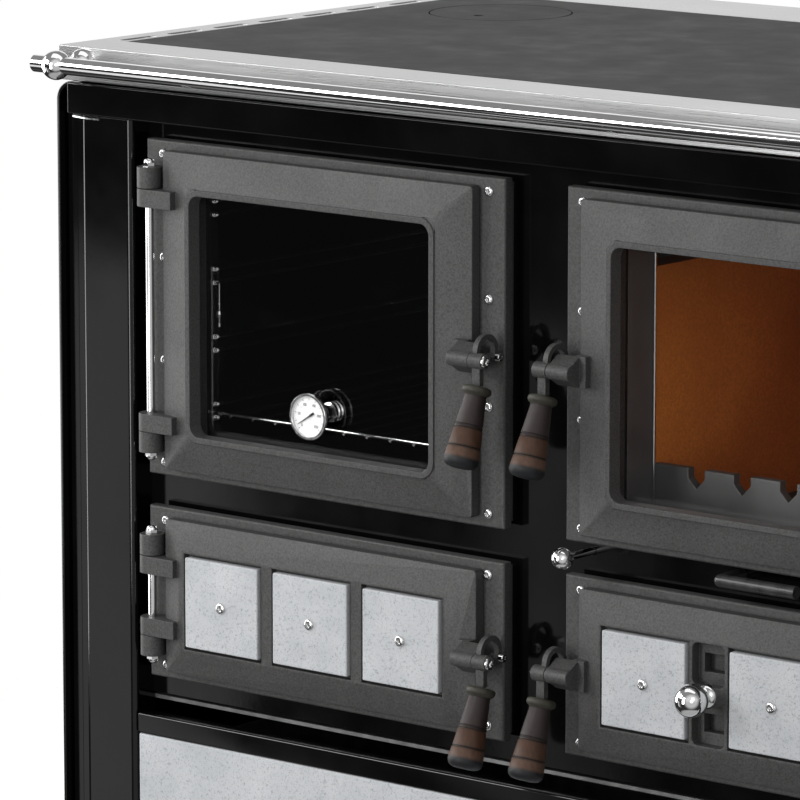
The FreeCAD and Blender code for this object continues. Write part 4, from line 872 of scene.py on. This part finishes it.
# Name, place, target, width and height in metres, power in watts.
SOFT_LIGHTS = (
    ("key", (-2.0, -2.2, 1.75), DOOR_MIDDLE, (1.2, 1.0), 34),
    ("left_box", (-1.95, -0.58, 0.8), (-0.4, -0.3, 0.8), (1.1, 1.6), 22),
    ("left_card", (-1.965, -1.82, -0.28), (-1.965, 0.0, -0.28), (0.67, 1.3), 2.2),
    ("post_card", (-1.17, -1.82, -0.3), (-1.17, 0.0, -0.3), (0.16, 1.3), 0.24),
    ("front_box", (-0.45, -2.4, 0.8), (-0.3, -0.3, 0.8), (0.6, 1.6), 21),
    ("fill", (2.6, -2.4, 1.9), DOOR_MIDDLE, (1.5, 1.5), 3),
    ("top", (0.1, -0.4, 3.0), (0, 0, 0.8), (3.0, 1.6), 14),
)
# Levels of grey from straight down to straight up.
SURROUND_STOPS = ((0.0, 0.4), (0.09, 0.4), (0.14, 0.03), (0.5, 0.03), (0.66, 0.25), (1.0, 0.25))
# Direction, reach in degrees and level of the soft bright patches.
SURROUND_PATCHES = (
    ((0.6, -0.75, 0.1), 55, 0.5), ((0.63, -0.76, 0.16), 13, 1.2), ((-0.63, 0.76, 0.18), 30, 0.8),
)
PATCH_CORE = 0.6
FLOOR_HALF = 1.4
CAMERA_PLACE = (2.6966917, -3.6865150, 1.3919658)
CAMERA_DROP, CAMERA_TURN = 10.21492, 39.52099
CAMERA_LENS, CAMERA_SENSOR = 259.3107, 36.0


def soft_light(name, place, target, size, power):
    """Rectangular soft box, turned to a target and not seen by the camera itself."""
    lamp = bpy.data.lights.new(name, "AREA")
    lamp.shape = "RECTANGLE"
    lamp.size, lamp.size_y = size
    lamp.energy = power
    item = bpy.data.objects.new(name, lamp)
    bpy.context.scene.collection.objects.link(item)
    item.location = place
    item.rotation_euler = (Vector(target) - Vector(place)).to_track_quat("-Z", "Y").to_euler()
    item.visible_camera = False


def glow(tree, direction, toward, spread, level):
    """Soft bright patch of the surround, fading out at a given angle from one direction."""
    match = tree.nodes.new("ShaderNodeVectorMath")
    match.operation = "DOT_PRODUCT"
    tree.links.new(direction, match.inputs[0])
    match.inputs[1].default_value = Vector(toward).normalized()
    fall = tree.nodes.new("ShaderNodeMapRange")
    fall.inputs["From Min"].default_value = math.cos(math.radians(spread))
    fall.inputs["From Max"].default_value = math.cos(math.radians(spread * PATCH_CORE))
    fall.inputs["To Max"].default_value = level
    tree.links.new(match.outputs["Value"], fall.inputs["Value"])
    return fall.outputs["Result"]


def pale_floor():
    """Plain pale floor under the stove."""
    mesh = bpy.data.meshes.new("floor")
    corners = [(x * FLOOR_HALF, y * FLOOR_HALF, 0.0) for x, y in ((-1, -1), (1, -1), (1, 1), (-1, 1))]
    mesh.from_pydata(corners, [], [(0, 1, 2, 3)])
    floor = bpy.data.objects.new("floor", mesh)
    bpy.context.scene.collection.objects.link(floor)
    paint = Finish("floor_paint", roughness=0.9, specular=0.1, glow=0.35, glow_colour=grey(1.0))
    paint.set("colour", paint.ramp(paint.noise(3), (0.3, grey(0.86)), (0.7, grey(0.9))))
    mesh.materials.append(paint.material)
    floor.visible_glossy = False
    floor.visible_diffuse = False


def surround():
    """White behind the stove; for light and reflections, grey levels by height and soft bright patches."""
    world = bpy.data.worlds.new("surround")
    bpy.context.scene.world = world
    world.use_nodes = True
    tree = world.node_tree
    back = next(n for n in tree.nodes if n.type == "BACKGROUND")
    ray = tree.nodes.new("ShaderNodeLightPath").outputs["Is Camera Ray"]
    direction = tree.nodes.new("ShaderNodeTexCoord").outputs["Generated"]
    split = tree.nodes.new("ShaderNodeSeparateXYZ")
    tree.links.new(direction, split.inputs[0])
    lift = tree.nodes.new("ShaderNodeMapRange")
    lift.inputs["From Min"].default_value = -1.0
    tree.links.new(split.outputs["Z"], lift.inputs["Value"])
    sky = tree.nodes.new("ShaderNodeValToRGB")
    set_stops(sky, [(position, grey(level)) for position, level in SURROUND_STOPS])
    tree.links.new(lift.outputs["Result"], sky.inputs["Fac"])
    level = sky.outputs["Color"]
    for toward, spread, strength in SURROUND_PATCHES:
        both = tree.nodes.new("ShaderNodeMath")
        tree.links.new(level, both.inputs[0])
        tree.links.new(glow(tree, direction, toward, spread, strength), both.inputs[1])
        level = both.outputs[0]
    choose = tree.nodes.new("ShaderNodeMix")
    choose.data_type = "RGBA"
    tree.links.new(ray, choose.inputs[MIX_FACTOR])
    tree.links.new(level, choose.inputs[MIX_FIRST])
    choose.inputs[MIX_SECOND].default_value = (1, 1, 1, 1)
    tree.links.new(choose.outputs[MIX_RESULT], back.inputs["Color"])


def aim_camera():
    """Camera at the photograph's viewing angle."""
    lens = bpy.data.cameras.new("camera")
    lens.sensor_width = CAMERA_SENSOR
    lens.lens = CAMERA_LENS
    item = bpy.data.objects.new("camera", lens)
    bpy.context.scene.collection.objects.link(item)
    item.location = CAMERA_PLACE
    item.rotation_euler = (math.radians(90 - CAMERA_DROP), 0.0, math.radians(CAMERA_TURN))
    bpy.context.scene.camera = item


pale_floor()
surround()
for light in SOFT_LIGHTS:
    soft_light(*light)
aim_camera()
bpy.context.scene.view_settings.view_transform = "Standard"
